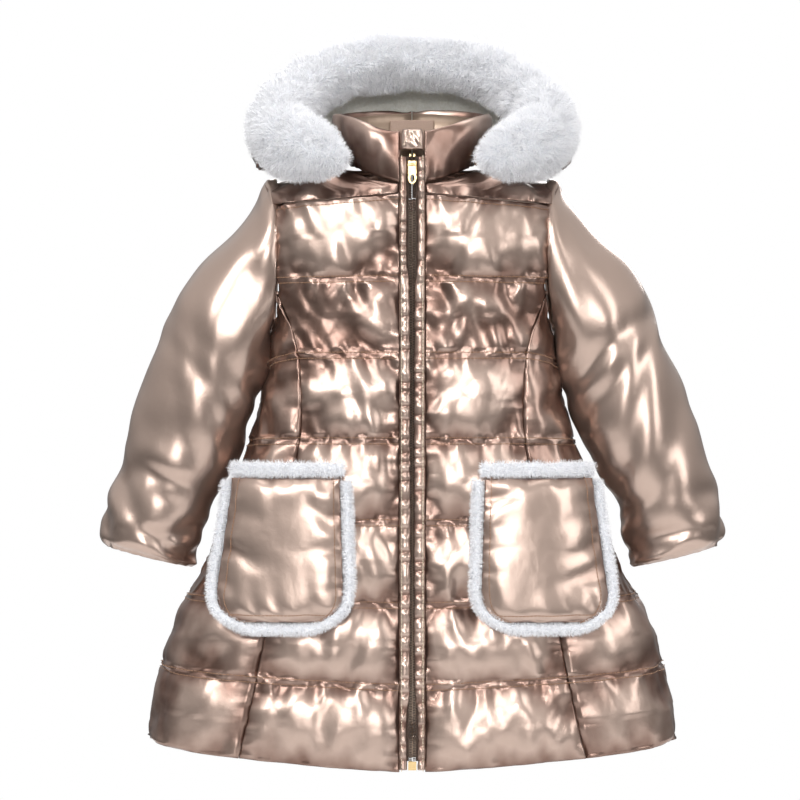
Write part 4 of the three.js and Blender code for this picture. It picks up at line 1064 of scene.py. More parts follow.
def yoke_grid(facing, edge, columns, rows):
    across, rise = np.meshgrid(np.linspace(0, 0.992, columns), np.linspace(0, 0.988, rows))
    across, rise = across[..., None], rise[..., None]

    def seam_point(share):
        share = share[..., 0]
        width = mix(edge, float(read_table(ARMHOLE_WIDTHS, YOKE_SIDE)), share)
        height = yoke_seam_height(turn_at(width, YOKE_SIDE))
        return body_place(turn_at(width, height), height, facing)[0]

    def neck_side(share):
        share = share[..., 0]
        turn = mix(math.asin(edge / NECK_HALF_WIDTH), np.pi / 2, np.maximum(0, (share - 0.3) / 0.7))
        neck = neck_point(turn if facing > 0 else np.pi - turn)
        low = seam_point(np.zeros(share.shape + (1,)))
        return np.where((share < 0.3)[..., None], mix(low, neck, (share / 0.3)[..., None]), neck)

    def armhole_side(share):
        share = share[..., 0]
        angle = mix(math.asin((YOKE_SIDE - ARMHOLE_MIDDLE) / ARMHOLE_HALF_HEIGHT), np.pi / 2, share)
        height = ARMHOLE_MIDDLE + ARMHOLE_HALF_HEIGHT * np.sin(angle)
        return np.stack(
            [
                read_table(ARMHOLE_WIDTHS, height), -facing * ARMHOLE_HALF_DEPTH * np.cos(angle),
                height
            ],
            -1
        )

    zero, one = np.zeros_like(across), np.ones_like(across)
    shoulder = mix(neck_side(one), armhole_side(one), across)
    point = seam_point(across) * (1 - rise) + shoulder * rise
    point = point + neck_side(rise) * (1 - across) + armhole_side(rise) * across
    point = point - seam_point(zero) * (1 - across) * (1 - rise) - seam_point(one) * across * (
        1 - rise
    )
    point = point - neck_side(one) * (1 - across) * rise - armhole_side(one) * across * rise
    outward = np.concatenate([0 * rise, -facing * (1 - rise), rise], -1)
    outward = unit(outward)
    return point, outward


for hand, side in (("left", 1), ("right", -1)):
    for part, facing, edge in (("front", 1, FRONT_EDGE), ("back", -1, 0.4)):
        points, normals = yoke_grid(facing, edge, 29, 21)
        points, normals = points * [side, 1, 1], normals * [side, 1, 1]
        base = points - normals * 4.0
        pins = edge_pins(points)
        swollen = inflate(base, normals, pins, 8.0, 60 + side + 4 * facing, grow=0.1)
        fine, fine_base, fine_normals = finer(swollen), finer(base), finer(normals)
        run = along_rows(fine_base)
        rise = np.linspace(0, 1, fine.shape[0])[:, None]
        gather = smooth_noise(run / 4.5, rise * 2, 77 + side) * np.exp(-rise * 4.5) * 2.2
        gather += smooth_noise(run / 6.0, rise * 3, 79) * np.exp(-(1 - rise) * 6) * 1.2
        fine = fine + fine_normals * gather[..., None]
        puff = puff_shade_of(fine, fine_base, fine_normals, 6.0)
        inner = fine_base - fine_normals * 7.0
        name = f"{hand}_{part}_yoke"
        obj = pad_mesh(name + "_gathered", to_frame(fine), to_frame(inner), COATED, 4, puff)
        dress(obj, name, "coat_body")
print("yokes made: 4")

# %% [markdown]
# The sleeves are padded but not quilted, so they hang in big slanting folds. The fold lines are
# drawn into the start shape as valleys of a noise that wraps round the arm, and the simulation
# then swells the cloth between them. The top of each sleeve is drawn in to the armhole seam.

# %% Sleeves
SLEEVE_OUTER = [
    [150.6, 584.6], [192, 528], [232, 465], [252, 415], [276, 350], [292, 295], [307, 250],
    [306, 219]
]
SLEEVE_INNER = [
    [145, 431], [160, 392], [170, 352], [182, 312], [200, 275], [209, 246], [214, 220], [219, 198]
]


def spline_points(rows, share):
    points = np.array(rows, float)
    last = len(points) - 1
    at = np.asarray(share, float) * last
    k = np.minimum(at.astype(int), last - 1)
    w = (at - k)[..., None]
    p0, p1, p2 = points[np.maximum(k - 1, 0)], points[k], points[k + 1]
    p3 = points[np.where(k > last - 2, last, k + 2)]
    v0, v1 = (p2 - p0) / 2, (p3 - p1) / 2
    return (
        (2 * p1 - 2 * p2 + v0 + v1) * w**3 + (-3 * p1 + 3 * p2 - 2 * v0 - v1) * w**2 + v0 * w + p1
    )


def sleeve_points(side, around, share, inset):
    high, low = spline_points(SLEEVE_OUTER, share), spline_points(SLEEVE_INNER, share)
    middle, axis = (high + low) / 2, high - low
    length = np.linalg.norm(axis, axis=-1, keepdims=True)
    swell = np.sin(np.pi * np.minimum(share * 1.4, 1))
    depth = mix(mix(52.0, 40.0, share), 54.0, 0.5 * swell) - inset
    turn = 2 * np.pi * around
    out = axis / length * (length / 2 - inset) * np.cos(turn)[..., None]
    x, z = middle[..., 0] + out[..., 0], middle[..., 1] + out[..., 1]
    y = depth * np.sin(turn) + 10.0 * share
    seam = read_table(ARMHOLE_WIDTHS, z) - 2.0
    x = np.where(share < 0.2, mix(seam, x, share / 0.2), x)
    return np.stack([x * side, y, z], -1)


def ring_normals(points):
    across = np.roll(points, -1, 1) - np.roll(points, 1, 1)
    up = np.gradient(points, axis=0)
    normal = np.cross(across, up)
    normal /= np.maximum(np.linalg.norm(normal, axis=-1, keepdims=True), 1e-9)
    outward = points - points.mean(1, keepdims=True)
    return normal * np.sign((normal * outward).sum(-1).mean())


def hollow_tube(name, outer, inner, material, puff=None):
    """Outer and inner rings (rows along, columns around) joined at both ends into one wall."""
    loops = np.concatenate([outer, inner[::-1]], 0).transpose(1, 0, 2)
    shade = None
    if puff is not None:
        shade = np.concatenate([puff, 0.5 * np.ones(inner.shape[:2])], 0).T
    return tube_mesh(name, to_frame(loops), material, False, shade)


FACING_START = 1 - CUFF_FACING / SLEEVE_LENGTH
SHOULDER = {"left": 1, "right": -1}
for hand, side in SHOULDER.items():
    body = f"{hand}_sleeve"
    share, around = np.meshgrid(np.linspace(0, 1, 63), np.arange(48) / 48, indexing="ij")
    points = sleeve_points(side, around, share, 0)
    normals = ring_normals(points)
    a, b = np.cos(2 * np.pi * around), np.sin(2 * np.pi * around)
    reach = share * SLEEVE_LENGTH
    slant = smooth_noise(reach / 52 + 1.1 * a, 1.25 * b + reach / 190, 5 + side)
    slant2 = smooth_noise(reach / 30 - 0.8 * a, 1.1 * b - reach / 120, 9 + side)
    folds = 6.5 * np.abs(slant) ** 0.75 + 3.0 * np.abs(slant2) ** 0.8 - 3.6
    ends = np.clip(np.minimum(share / 0.05, (1 - share) / 0.04), 0, 1)
    head = np.exp(-(((share - 0.1) / 0.08) ** 2)) * np.maximum(a, 0) * 8.0
    under = np.exp(-(((share - 0.22) / 0.2) ** 2)) * np.maximum(-a, 0) * 4.0
    base = points + normals * (2.6 * ends - 1.2 + folds * ends + (head + under) * ends)[..., None]
    pins = np.zeros(share.shape)
    pins[[0, -1]] = 1
    pins[-3] = 0.6
    swollen = inflate(base, normals, pins, 9.0, 80 + side, grow=0.09, ring=True)
    fine, fine_base = finer(swollen, ring=True), finer(points, ring=True)
    fine_normals = ring_normals(fine_base)
    turn = np.arange(fine.shape[1]) / fine.shape[1] * 100
    along = np.linspace(0, SLEEVE_LENGTH, fine.shape[0])[:, None]
    edge = np.exp(-along / 12.0) + np.exp(-(SLEEVE_LENGTH - along) / 10.0)
    wave = smooth_noise(turn * 0.55 + 0 * along, 0 * turn + along / 60, 15 + side)
    fine = fine + fine_normals * (1.3 * edge * wave)[..., None]
    puff = puff_shade_of(fine, fine_base, fine_normals, 12.0, 0.55)
    inner = fine_base - fine_normals * 10.5
    obj = hollow_tube(f"{hand}_sleeve_padded", fine, inner[::2], COATED_SLEEVE, puff)
    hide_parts(body)
    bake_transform(obj)
    for node, low, high, rows, ripple, material, slot in (
        (f"{hand}_sleeve_lining", 0.1, FACING_START - 0.003, 30, 0.6, LINING, "lining_fabric"),
        (f"{hand}_cuff_facing", FACING_START, 0.995, 8, 1.3, COATED_SHADED_TRIM, "coated_fabric"),
    ):
        share, around = np.meshgrid(
            np.linspace(low, high, rows), np.arange(120) / 120, indexing="ij"
        )
        ruffle = ripple * smooth_noise(around * 64, share * 3, 33)
        ruffle += 0.5 * ripple * np.sin(2 * np.pi * 40 * around)
        outer_face = sleeve_points(side, around, share, 13.4)
        face_normals = ring_normals(outer_face)
        cloth = outer_face + face_normals * np.clip(ruffle, -1.4, 0.4)[..., None]
        obj = hollow_tube(node + "_cloth", cloth, cloth - face_normals * 1.2, material)
        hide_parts(node)
        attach(obj, body)

# %% [markdown]
# The collar is two half rings of padding meeting at centre back. Its shell runs up the outside,
# over a soft top edge and down the inside, so the simulated sheet does the same and is pinned
# only at the neck seam and at the two ends.


# %% Collar
def collar_points(side, across, rise):
    half_span = mix(NECK_HALF_WIDTH, COLLAR_TOP_HALF_WIDTH, rise)
    start = np.arcsin(FRONT_EDGE / half_span)
    at_front, at_side, at_back = COLLAR_TOPS
    turn = mix(start, np.pi - 0.006, across)
    base = neck_point(turn)
    front = turn < np.pi / 2
    top_height = mix(np.where(front, at_front, at_back), at_side, np.sin(turn) ** 2)
    top_depth = np.where(front, half_depth(at_front), COLLAR_TOP_BACK_DEPTH)
    top = np.stack(
        [COLLAR_TOP_HALF_WIDTH * np.sin(turn), -top_depth * np.cos(turn), top_height], -1
    )
    outward = np.stack([np.sin(turn), -np.cos(turn), 0 * turn], -1)
    bow = 3 * np.sin(np.pi * rise) * np.sin(turn)
    point = mix(base, top, rise[..., None]) + outward * bow[..., None] + [0, 0, 0.6]
    return point * [side, 1, 1], outward * [side, 1, 1]


SECTION = [(0.0, 3.0), (0.12, 2.4), (0.24, 2.0), (0.36, 1.8), (0.48, 1.8), (0.6, 2.0), (0.72, 2.2), (0.84, 2.6),
           (0.92, 3.4), (0.965, 4.8), (0.985, 6.5), (0.965, 8.2), (0.92, 9.2), (0.82, 9.6), (0.7, 9.8), (
               0.56, 10.0
           ),
           (0.42, 10.0), (0.28, 10.0), (0.14, 10.0), (0.0, 10.0)]
for hand, side in SHOULDER.items():
    rise = np.array([s[0] for s in SECTION])
    depth = np.array([s[1] for s in SECTION])
    across, rows = np.meshgrid(np.linspace(0, 1, 57), np.arange(len(SECTION)))
    point, outward = collar_points(side, across, rise[rows])
    crumple = smooth_noise(across * 9, rows / 5.5, 23 + side) + 0.6 * smooth_noise(
        across * 19, rows / 3.0, 29 + side
    )
    base = point - outward * (depth[rows] - 1.9 * crumple * np.sin(np.pi * np.clip(rows / 19, 0, 1)))[
        ..., None
    ]
    section_normals = grid_normals(base)
    section_normals *= np.sign((section_normals[5] * outward[5]).sum(-1).mean())
    pins = edge_pins(rows)
    pins[len(SECTION) - 2] = 0.8
    swollen = inflate(base, section_normals, pins, 4.6, 90 + side, grow=0.12)
    fine, fine_base = finer(swollen), finer(base)
    fine_normals = grid_normals(fine_base)
    fine_normals *= np.sign((fine_normals[10] * finer(outward)[10]).sum(-1).mean())
    run = along_rows(fine_base)
    climb = np.linspace(0, 1, fine.shape[0])[:, None]
    low = np.exp(-climb * 7) + np.exp(-(1 - climb) * 9)
    ends = np.exp(-np.minimum(run, run[:, -1:] - run) / 7)
    ripple = (
        1.1 * smooth_noise(run / 5, climb * 3, 3 + side) * low
        + 0.9 * smooth_noise(climb * 14, run / 40, 8) * ends
    )
    fine = fine + fine_normals * ripple[..., None]
    puff = puff_shade_of(fine, fine_base, fine_normals, 4.0)
    obj = tube_mesh(
        f"{hand}_collar_padded", to_frame(fine.transpose(1, 0, 2)), COATED, True, puff.T
    )
    dress(obj, f"{hand}_collar", "coat_body")
    across, rise = np.meshgrid(np.linspace(0.05, 1, 61), np.linspace(0.02, 0.93, 13))
    point, outward = collar_points(side, across, rise)
    ripple = 0.6 * smooth_noise(across * 26, rise * 2, 5 + side)
    front = point - outward * (12.9 + 0.6 + ripple)[..., None]
    obj = pad_mesh(
        f"{hand}_collar_lining_cloth", to_frame(front), to_frame(front - outward * 1.3),
        COATED_SHADED_TRIM, 4
    )
    dress(obj, f"{hand}_collar_lining", "coat_body")
print("collar halves made")

# %% [markdown]
# The zip. A number 5 coil zip has a coil sewn to each tape, drawn here as bars every 1.6 mm laid
# by the path tree turned across it. The plackets are narrow folds of shell cloth that pucker
# beside their stitching and close over the coil below the chest.


# %% Zip coil, tapes and plackets
def zip_line(x, z, back):
    """Points on the zip line at heights z, back being millimetres behind the coat's front line."""
    z = np.asarray(z, float)
    return np.stack([x + 0 * z, -half_depth(z) + back, z], -1)


coil_tree = stitch_tree(COIL)
for node in coil_tree.nodes:
    if node.bl_idname == "FunctionNodeAlignEulerToVector":
        node.axis = "X"
for hand, side in SHOULDER.items():
    rows = np.linspace(13.4 + 0.4 * side, 603.2 + 0.4 * side, 60)
    obj = stitches(
        f"{hand}_zip_coil", [zip_line(side * 1.75, rows, 2.8)], "coat_body", coil_tree,
        1.6, 2.7, 0.62
    )
    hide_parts(f"{hand}_zip_teeth")
    heights = np.linspace(12.9, 604.0, 90)
    grid = np.stack(
        [
            zip_line(side * x, heights, 2.1 + 0.15 * (i % 2)) for i,
            x in enumerate(np.linspace(3.3, 12.0, 9))
        ],
        1
    )
    if side < 0:
        grid = grid[:, ::-1]
    obj = pad_mesh(f"{hand}_zip_tape_woven", to_frame(grid), to_frame(grid + [0, 1.1, 0]), TAPE, 4)
    dress(obj, f"{hand}_zip_tape", "coat_body")
    heights = np.linspace(4.4, 603.6, 501)
    inner_edge = read_table(
        [[4, 5.3], [58, 5.3], [80, 2.4], [470, 2.3], [500, 4.9], [604, 5.3]], heights
    )
    pucker = smooth_noise(heights / 4.6, 0 * heights, 40 + side)
    pucker2 = smooth_noise(heights / 4.2, 0 * heights + 9, 43 + side)
    loops = []
    for turn in np.linspace(0, 2 * np.pi, 12, endpoint=False):
        middle, reach = (inner_edge + 12.7) / 2, (12.7 - inner_edge) / 2
        away = np.cos(turn)
        forward = np.sin(turn)
        x = middle + reach * away * (1 + 0.1 * pucker2 * (away < 0))
        back = 0.2 - forward * np.where(forward > 0, 2.4 + 1.5 * pucker, 1.2 + 0 * pucker)
        loops.append(zip_line(0, heights, back) + np.stack([side * x, 0 * x, 0 * x], -1))
    loops = np.stack(loops, 1)
    # Painted shade in the placket's pucker valleys: the shade value follows the puckers.
    shade = np.clip(0.35 + 0.6 * pucker, 0, 1)[:, None] * np.ones((1, 12))
    obj = tube_mesh(f"{hand}_placket_puckered", to_frame(loops), COATED, True, shade)
    dress(obj, f"{hand}_placket", "coat_body")
    line = zip_line(side * 10.4, heights, -1.6 - 1.1 * pucker)
    stitches(
        f"{hand}_placket_stitches", [line], "coat_body", TREE_PALE, 3.4, 2.7, 0.42
    )
for node in ("zip_slider", "zip_pull", "left_zip_top_stop", "right_zip_top_stop", "zip_bottom_box"):
    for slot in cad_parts[node].material_slots:
        slot.material = PALE_GOLD
print("zip coil bars a side:", int(590 / 1.6))

# %% [markdown]
# The zip garage is a small rounded cap of shell cloth over the top of the zip, so the slider
# does not touch the chin. It has a curved row of stitching.

# %% Zip garage
across, rise = np.meshgrid(np.linspace(-1, 1, 33), np.linspace(0, 1, 33))
height = 610.5 + rise * 20.5
width = 11.6 * (1 - 0.22 * np.clip((rise - 0.55) / 0.45, 0, 1) ** 2)
dome = (1 - across**6) * (1 - (2 * rise - 1) ** 6)
front = zip_line(0, height, 0.8) + np.stack(
    [across * width, -4.2 * dome ** 0.5 + 0 * rise, 0 * rise], -1
)
front[..., 1] += 1.5 * smooth_noise(across * 3 + rise, rise * 2.5, 4) * dome
back = zip_line(0, height, 1.6) + np.stack([across * width, 0 * rise, 0 * rise], -1)
# Painted shade at the cap's rim: the shade value falls from the dome's top to its edges.
obj = pad_mesh("zip_garage_cap", to_frame(front), to_frame(back), COATED, 4, np.clip(dome, 0.2, 1))
dress(obj, "zip_garage", "coat_body")
arc = np.linspace(-1, 1, 40)
curve = zip_line(0, 615.5 + 11.0 * (1 - arc**2), -4.4) + np.stack([arc * 8.6, 0 * arc, 0 * arc], -1)
stitches("zip_garage_stitches", [curve], "coat_body", TREE_PALE, 2.8, 2.2, 0.35)
print("garage height, mm:", 20.5)

# %% [markdown]
# Patch pockets. Each is a padded panel held off the coat by a fur edging round its sides and
# bottom, with a deeper fur band along its open top.


# %% Pockets
def pocket_edges(height, grow):
    share = (height - POCKET_LOW) / POCKET_HEIGHT
    rise = np.maximum(height - (POCKET_LOW - grow), 0)
    corner = POCKET_CORNER + grow
    pulled = np.where(
        rise < corner, corner - np.sqrt(np.maximum(corner**2 - (corner - rise) ** 2, 0)), 0
    )
    return mix(66.0, 70.0, share) - grow + pulled, mix(191.0, 166.0, share) + grow - pulled


def front_place(side, width, height, out):
    point, outward = body_place(turn_at(width, height) * side, height, 1)
    return point + outward * np.asarray(out)[..., None], outward


def fur_tube(points, outward, half_wide, half_tall, around=20):
    """A rounded roll along points: half_wide in the cloth's plane, half_tall away from it."""
    along = np.gradient(points, axis=0)
    along = unit(along)
    sideways = np.cross(along, outward)
    sideways = unit(sideways)
    turn = np.linspace(0, 2 * np.pi, around, endpoint=False)
    lump = 1 + 0.12 * smooth_noise(np.arange(len(points))[:, None] / 3.0, turn[None] * 1.3, 6)
    out = points[:, None] + sideways[:, None] * (np.cos(turn) * half_wide)[None, :, None] * lump[
        ..., None
    ]
    return out + outward[:, None] * (np.sin(turn) * half_tall)[None, :, None] * lump[..., None]


for hand, side in SHOULDER.items():
    across, rise = np.meshgrid(np.linspace(0.0, 1, 33), np.linspace(0, 1, 37))
    height = mix(POCKET_LOW + 0.5, POCKET_LOW + POCKET_HEIGHT - 0.5, rise)
    inner_x, outer_x = pocket_edges(height, 0)
    base, normals = front_place(side, mix(inner_x, outer_x, across), height, 14.5 + 0 * height)
    if side < 0:
        base, normals = base[:, ::-1], normals[:, ::-1]
    pins = edge_pins(base)
    swollen = inflate(base, normals, pins, 6.0, 100 + side, grow=0.06)
    fine, fine_base, fine_normals = finer(swollen), finer(base), finer(normals)
    fine = puckered(
        fine, fine_normals, np.linspace(0, POCKET_HEIGHT, fine.shape[0]), along_rows(fine_base),
        50 + side, 0.9, [0.0, POCKET_HEIGHT]
    )
    puff = puff_shade_of(fine, fine_base, fine_normals, 6.0, 0.2)
    obj = pad_mesh(
        f"{hand}_pocket_padded", to_frame(fine), to_frame(fine_base - fine_normals * 3.2), COATED,
        4, puff
    )
    dress(obj, f"{hand}_pocket", "coat_body")
    inset = 4
    edge = fine + fine_normals * 0.3
    stitches(
        f"{hand}_pocket_stitches",
        [edge[::-1, inset], edge[inset, inset:-inset], edge[:, -inset - 1]], "coat_body"
    )
    share = np.linspace(0, 1, 90)
    down, along, up = np.minimum(share * 3, 1), np.clip(share * 3 - 1, 0, 1), np.maximum(
        share * 3 - 2, 0
    )
    height = mix(POCKET_LOW + POCKET_HEIGHT, POCKET_LOW, down) + up * POCKET_HEIGHT
    near = pocket_edges(height, 0)
    lowered = height - 12.0 * np.minimum(down, 1 - up)
    grown = pocket_edges(lowered * (down - up > 0.5) + height * (down - up <= 0.5), 12.0)
    wide = (mix(near[0], near[1], along) + mix(grown[0], grown[1], along)) / 2
    tall = (height + lowered) / 2
    wide, tall = [
        np.convolve(np.pad(v, 3, mode="edge"), np.ones(7) / 7, "valid") for v in (wide, tall)
    ]
    route, outward = front_place(side, wide, tall, 10.0 + 0 * tall)
    skin = tube_mesh(
        f"{hand}_pocket_fur_edge_skin", to_frame(fur_tube(route, outward, 4.4, 5.8)), FUR_SKIN
    )
    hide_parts(f"{hand}_pocket_fur_edge")
    inner_x, outer_x = pocket_edges(np.array(POCKET_LOW + POCKET_HEIGHT), 12.0)
    wide = np.linspace(float(inner_x) + 9, min(float(outer_x), 183.0) - 12, 40)
    route, outward = front_place(side, wide, 297.0 + 0 * wide, 13.8 + 0 * wide)
    skin_top = tube_mesh(
        f"{hand}_pocket_fur_top_skin", to_frame(fur_tube(route, outward, 6.4, 2.4)), FUR_SKIN
    )
    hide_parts(f"{hand}_pocket_fur_top")
    for k, (piece, part) in enumerate(((skin, "edge"), (skin_top, "top"))):
        grow_fur(f"{hand}_pocket_fur_{part}_pile", piece, "coat_body", 1.25, 4.6, 0.6, 5 + k + side)
        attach(piece, "coat_body")

# %% [markdown]
# The hood lies folded back. A curve through its face edge carries the thick fur roll, and the
# inside surface runs from behind that roll back and down to the neck, where a hidden zip holds
# it. Three padded panels form the outside and three of fleece the inside.

# %% Hood surface
FUR_HALF = [
    [0, 52, 708], [62, 45, 700], [106, 24, 677], [130, -8, 645], [124, -42, 620], [103, -64, 611]
]
FUR_LINE = [[-x, y, z] for x, y, z in FUR_HALF[:0:-1]] + FUR_HALF


TRIM_LINE = [[-66, -83, 599]] + FUR_LINE + [[66, -83, 599]]  # the pile runs on a little past the roll


def fur_curve(share, line=FUR_LINE):
    points = np.array(line, float)
    last = len(points) - 1
    padded = np.concatenate([[2 * points[0] - points[1]], points, [2 * points[-1] - points[-2]]])
    at = np.asarray(share, float) * last
    k = np.clip(np.floor(at).astype(int), 0, last - 1)
    w = (at - k)[..., None]
    p = [padded[k + m] for m in range(4)]
    d = [np.sum((p[m + 1] - p[m]) ** 2, -1, keepdims=True) ** 0.25 for m in range(3)]
    t1 = ((p[1] - p[0]) / d[0] - (p[2] - p[0]) / (d[0] + d[1]) + (p[2] - p[1]) / d[1]) * d[1]
    t2 = ((p[2] - p[1]) / d[1] - (p[3] - p[1]) / (d[1] + d[2]) + (p[3] - p[2]) / d[2]) * d[1]
    return (
        p[1] + t1 * w + (-3 * p[1] + 3 * p[2] - 2 * t1 - t2) * w**2
        + (2 * p[1] - 2 * p[2] + t1 + t2) * w**3
    )


def fur_radius(share):
    return read_table([[0, 26], [0.65, 33], [1, 25]], np.abs(2 * np.asarray(share) - 1))


def hood_points(off, back):
    """Places on the hood's inside surface: off from -1 to 1 round the face, back from 0 to 1."""
    share = (off + 1) / 2
    face = fur_curve(share)
    along = fur_curve(np.minimum(share + 1e-3, 1)) - fur_curve(np.maximum(share - 1e-3, 0))
    along = unit(along)
    full_off = np.abs(off)
    behind = np.stack([0.75 * off, 1 - 0.4 * full_off, -0.35 * full_off], -1)
    behind -= along * (behind * along).sum(-1, keepdims=True)
    behind = unit(behind)
    face = face + behind * (fur_radius(share) + 0.4 + 4 * full_off)[..., None]
    turn = mix(np.pi, math.radians(58), full_off)
    seam = neck_point(turn)[..., 2] + 12
    neck = np.stack([np.sign(off) * 92 * np.sin(turn), -77 * np.cos(turn), seam], -1)
    fullness = np.cos(np.pi / 2 * np.minimum(full_off, 1)) ** 0.6
    sideways = np.sin(np.pi * full_off) * np.sign(off)
    leave = np.stack([14 * sideways, mix(8, 72, fullness), -6 * fullness], -1)
    arrive = np.stack([30 * sideways, mix(8, 76, fullness), 12 * fullness + 2], -1)
    t = back[..., None]
    return (
        face * (1 - t) ** 3 + 3 * (face + leave) * t * (1 - t) ** 2
        + 3 * (neck + arrive) * t * t * (1 - t) + neck * t**3
    )


def hood_grid(low, high, columns, rows):
    off, back = np.meshgrid(np.linspace(low, high, columns), np.linspace(0, 1, rows))
    points = hood_points(off, back)
    normals = grid_normals(points)
    outward = points - np.array([0.0, 5.0, 655.0])
    normals *= np.sign((normals * outward).sum(-1).mean())
    return points, normals


print(
    "hood face edge length, mm:",
    round(float(np.linalg.norm(np.diff(fur_curve(np.linspace(0, 1, 200)), axis=0), axis=-1).sum()))
)

# %% Hood shell and fleece
for name, low, high, columns in (
    ("hood_centre", -0.297, 0.297, 37), ("left_hood_side", 0.303, 0.74, 25), (
        "right_hood_side", -0.74, -0.303, 25
    ),
):
    points, normals = hood_grid(low, high, columns, 33)
    base = points + normals * 6.4
    pins = edge_pins(base)
    swollen = inflate(base, normals, pins, 7.0, 120 + columns + int(10 * low), grow=0.12)
    fine, fine_base, fine_normals = finer(swollen), finer(base), finer(normals)
    levels = along_rows(fine_base.transpose(1, 0, 2))[columns]
    fine = puckered(
        fine, fine_normals, levels, along_rows(fine_base), 61, 1.3, [0.0, float(levels[-1])]
    )
    puff = puff_shade_of(fine, fine_base, fine_normals, 6.0)
    obj = pad_mesh(
        name + "_padded", to_frame(fine), to_frame(fine_base - fine_normals * 1.6), COATED, 4, puff
    )
    dress(obj, name, "hood")
    points, normals = hood_grid(low, high, 2 * columns + 3, 65)
    off = np.linspace(0, 1, points.shape[1])[None, :]
    down = np.linspace(0, 1, points.shape[0])[:, None]
    curls = 0.9 * smooth_noise(off * 40, down * 60, 17) + 0.5 * smooth_noise(
        off * 90, down * 120, 18
    )
    drape = 2.2 * smooth_noise(off * 3 + down, down * 3, 19) * np.sin(np.pi * off) * np.sin(
        np.pi * down
    )
    inside = points - normals * (0.9 + curls + drape - 1.2)[..., None]
    obj = pad_mesh(
        name + "_fleece_brushed", to_frame(inside), to_frame(points + normals * 3.0), FLEECE, 4
    )
    dress(obj, name + "_fleece", "hood")
print("hood panels: 3 padded, 3 fleece")

# %% [markdown]
# The fur trim: a lumpy skin under a dense pile. The pile is grown in four lengths so that no
# piece is too heavy, and every blade starts on the skin and ends near the trim's real outline.


# %% Hood fur
def fur_skin_loops(low, high, rows, inset):
    share = np.linspace(low, high, rows)
    centre = fur_curve(share, TRIM_LINE)
    along = fur_curve(np.minimum(share + 1e-3, 1), TRIM_LINE) - fur_curve(
        np.maximum(share - 1e-3, 0), TRIM_LINE
    )
    along = unit(along)
    first = np.array([0, -0.6, 0.8]) - along * (along @ np.array([0, -0.6, 0.8]))[:, None]
    first = unit(first)
    second = np.cross(along, first)
    turn = np.linspace(0, 2 * np.pi, 48, endpoint=False)
    wrap = np.concatenate([turn[:24], 2 * np.pi - turn[24:]])
    lumps = (
        smooth_noise(share[:, None] * 34, wrap[None] * 2.2, 71) * 2.6
        + smooth_noise(share[:, None] * 80, wrap[None] * 5, 72) * 1.4
    )
    ends = np.sqrt(np.clip(np.minimum(share, 1 - share) / 0.05, 0.03, 1))
    full = read_table([[0, 29], [0.3, 31], [0.5, 35.5], [0.75, 35], [1, 24]], np.abs(2 * share - 1))
    radius = ((full - inset) * ends)[:, None] + lumps * ends[:, None]
    return centre[:, None] + loops_round(first, second, turn) * radius[..., None]


skin = tube_mesh("hood_fur_skin", to_frame(fur_skin_loops(0.0, 1.0, 161, 6.0)), FUR_SKIN)
dress(skin, "hood_fur_trim", "hood")
for k in range(4):
    low, high = k / 4, (k + 1) / 4
    part = tube_mesh("fur_part", to_frame(fur_skin_loops(low, high, 41, 6.0)), FUR_SKIN)
    caps = [p.index for p in part.data.polygons if len(p.vertices) > 4]
    work = bmesh.new()
    work.from_mesh(part.data)
    work.faces.ensure_lookup_table()
    bmesh.ops.delete(work, geom=[work.faces[i] for i in caps], context="FACES_ONLY")
    work.to_mesh(part.data)
    work.free()
    grow_fur(f"hood_fur_pile_{k + 1}", part, "hood", 1.25, 8.5, 0.62, 20 + k)
    mesh = part.data
    bpy.data.objects.remove(part)
    bpy.data.meshes.remove(mesh)

# %% [markdown]
# Inside the body: a taffeta lining behind each quilted front and the back, and a facing of shell
# cloth turned up inside the hem. They follow the same section a little further in.


# %% Lining and hem facing
def lining_piece(node, turns, facing, levels, depth, thick, material, ripple, seed):
    shares = np.linspace(0, 1, turns.shape[0])
    turn = turns[None, :] * np.ones((len(levels), 1))
    height = row_height(levels[:, None] * np.ones_like(turn), turn)
    limit = side_turn(height) - 0.6 / half_width(height)
    turn = np.sign(turn) * np.minimum(np.abs(turn) / (np.pi / 2) * limit, limit)
    points, normals = body_place(turn, height, facing)
    wave = ripple * smooth_noise(shares[None] * 22, levels[:, None] / 60, seed)
    front = points - normals * (depth + 0.4 + np.clip(wave, -0.4, 3))[..., None]
    obj = pad_mesh(node + "_cloth", to_frame(front), to_frame(front - normals * thick), material, 4)
    dress(obj, node, "coat_body")


lining_levels = np.linspace(2, 556, 61)
for hand, side in SHOULDER.items():
    turns = side * np.linspace(0.14, np.pi / 2 - 0.01, 33)
    lining_piece(
        f"{hand}_front_lining", turns, 1, lining_levels, 14.8, 1.6, LINING, 1.5,
        44 + side
    )
lining_piece(
    "back_lining", np.linspace(-1.56, 1.56, 65), -1, lining_levels, 14.8, 1.6, LINING,
    1.5, 47
)
count = 241
spot = np.linspace(-1, 1, count)
front_half = np.abs(spot) > 0.5
turn = np.where(front_half, mix(np.pi / 2, 0.14, (np.abs(spot) - 0.5) * 2), np.abs(spot) * np.pi) * np.sign(
    spot
)
facing_sign = np.where(front_half, 1.0, -1.0)
climb = np.linspace(1.5, 34, 9)[:, None]
turn_grid = turn[None] * np.ones((9, 1))
height = hem_height(turn_grid) + climb
points, normals = body_place(turn_grid, height, facing_sign[None])
gather = 1.0 * smooth_noise(spot[None] * 90, climb / 30, 12)
front = points - normals * (18.6 + np.clip(gather, -0.5, 1))[..., None]
obj = pad_mesh("hem_facing_cloth", to_frame(front), to_frame(front - normals * 1.3), COATED_SHADED_TRIM, 4)
dress(obj, "hem_facing", "coat_body")
print("lining reaches, mm above the hem:", 556)

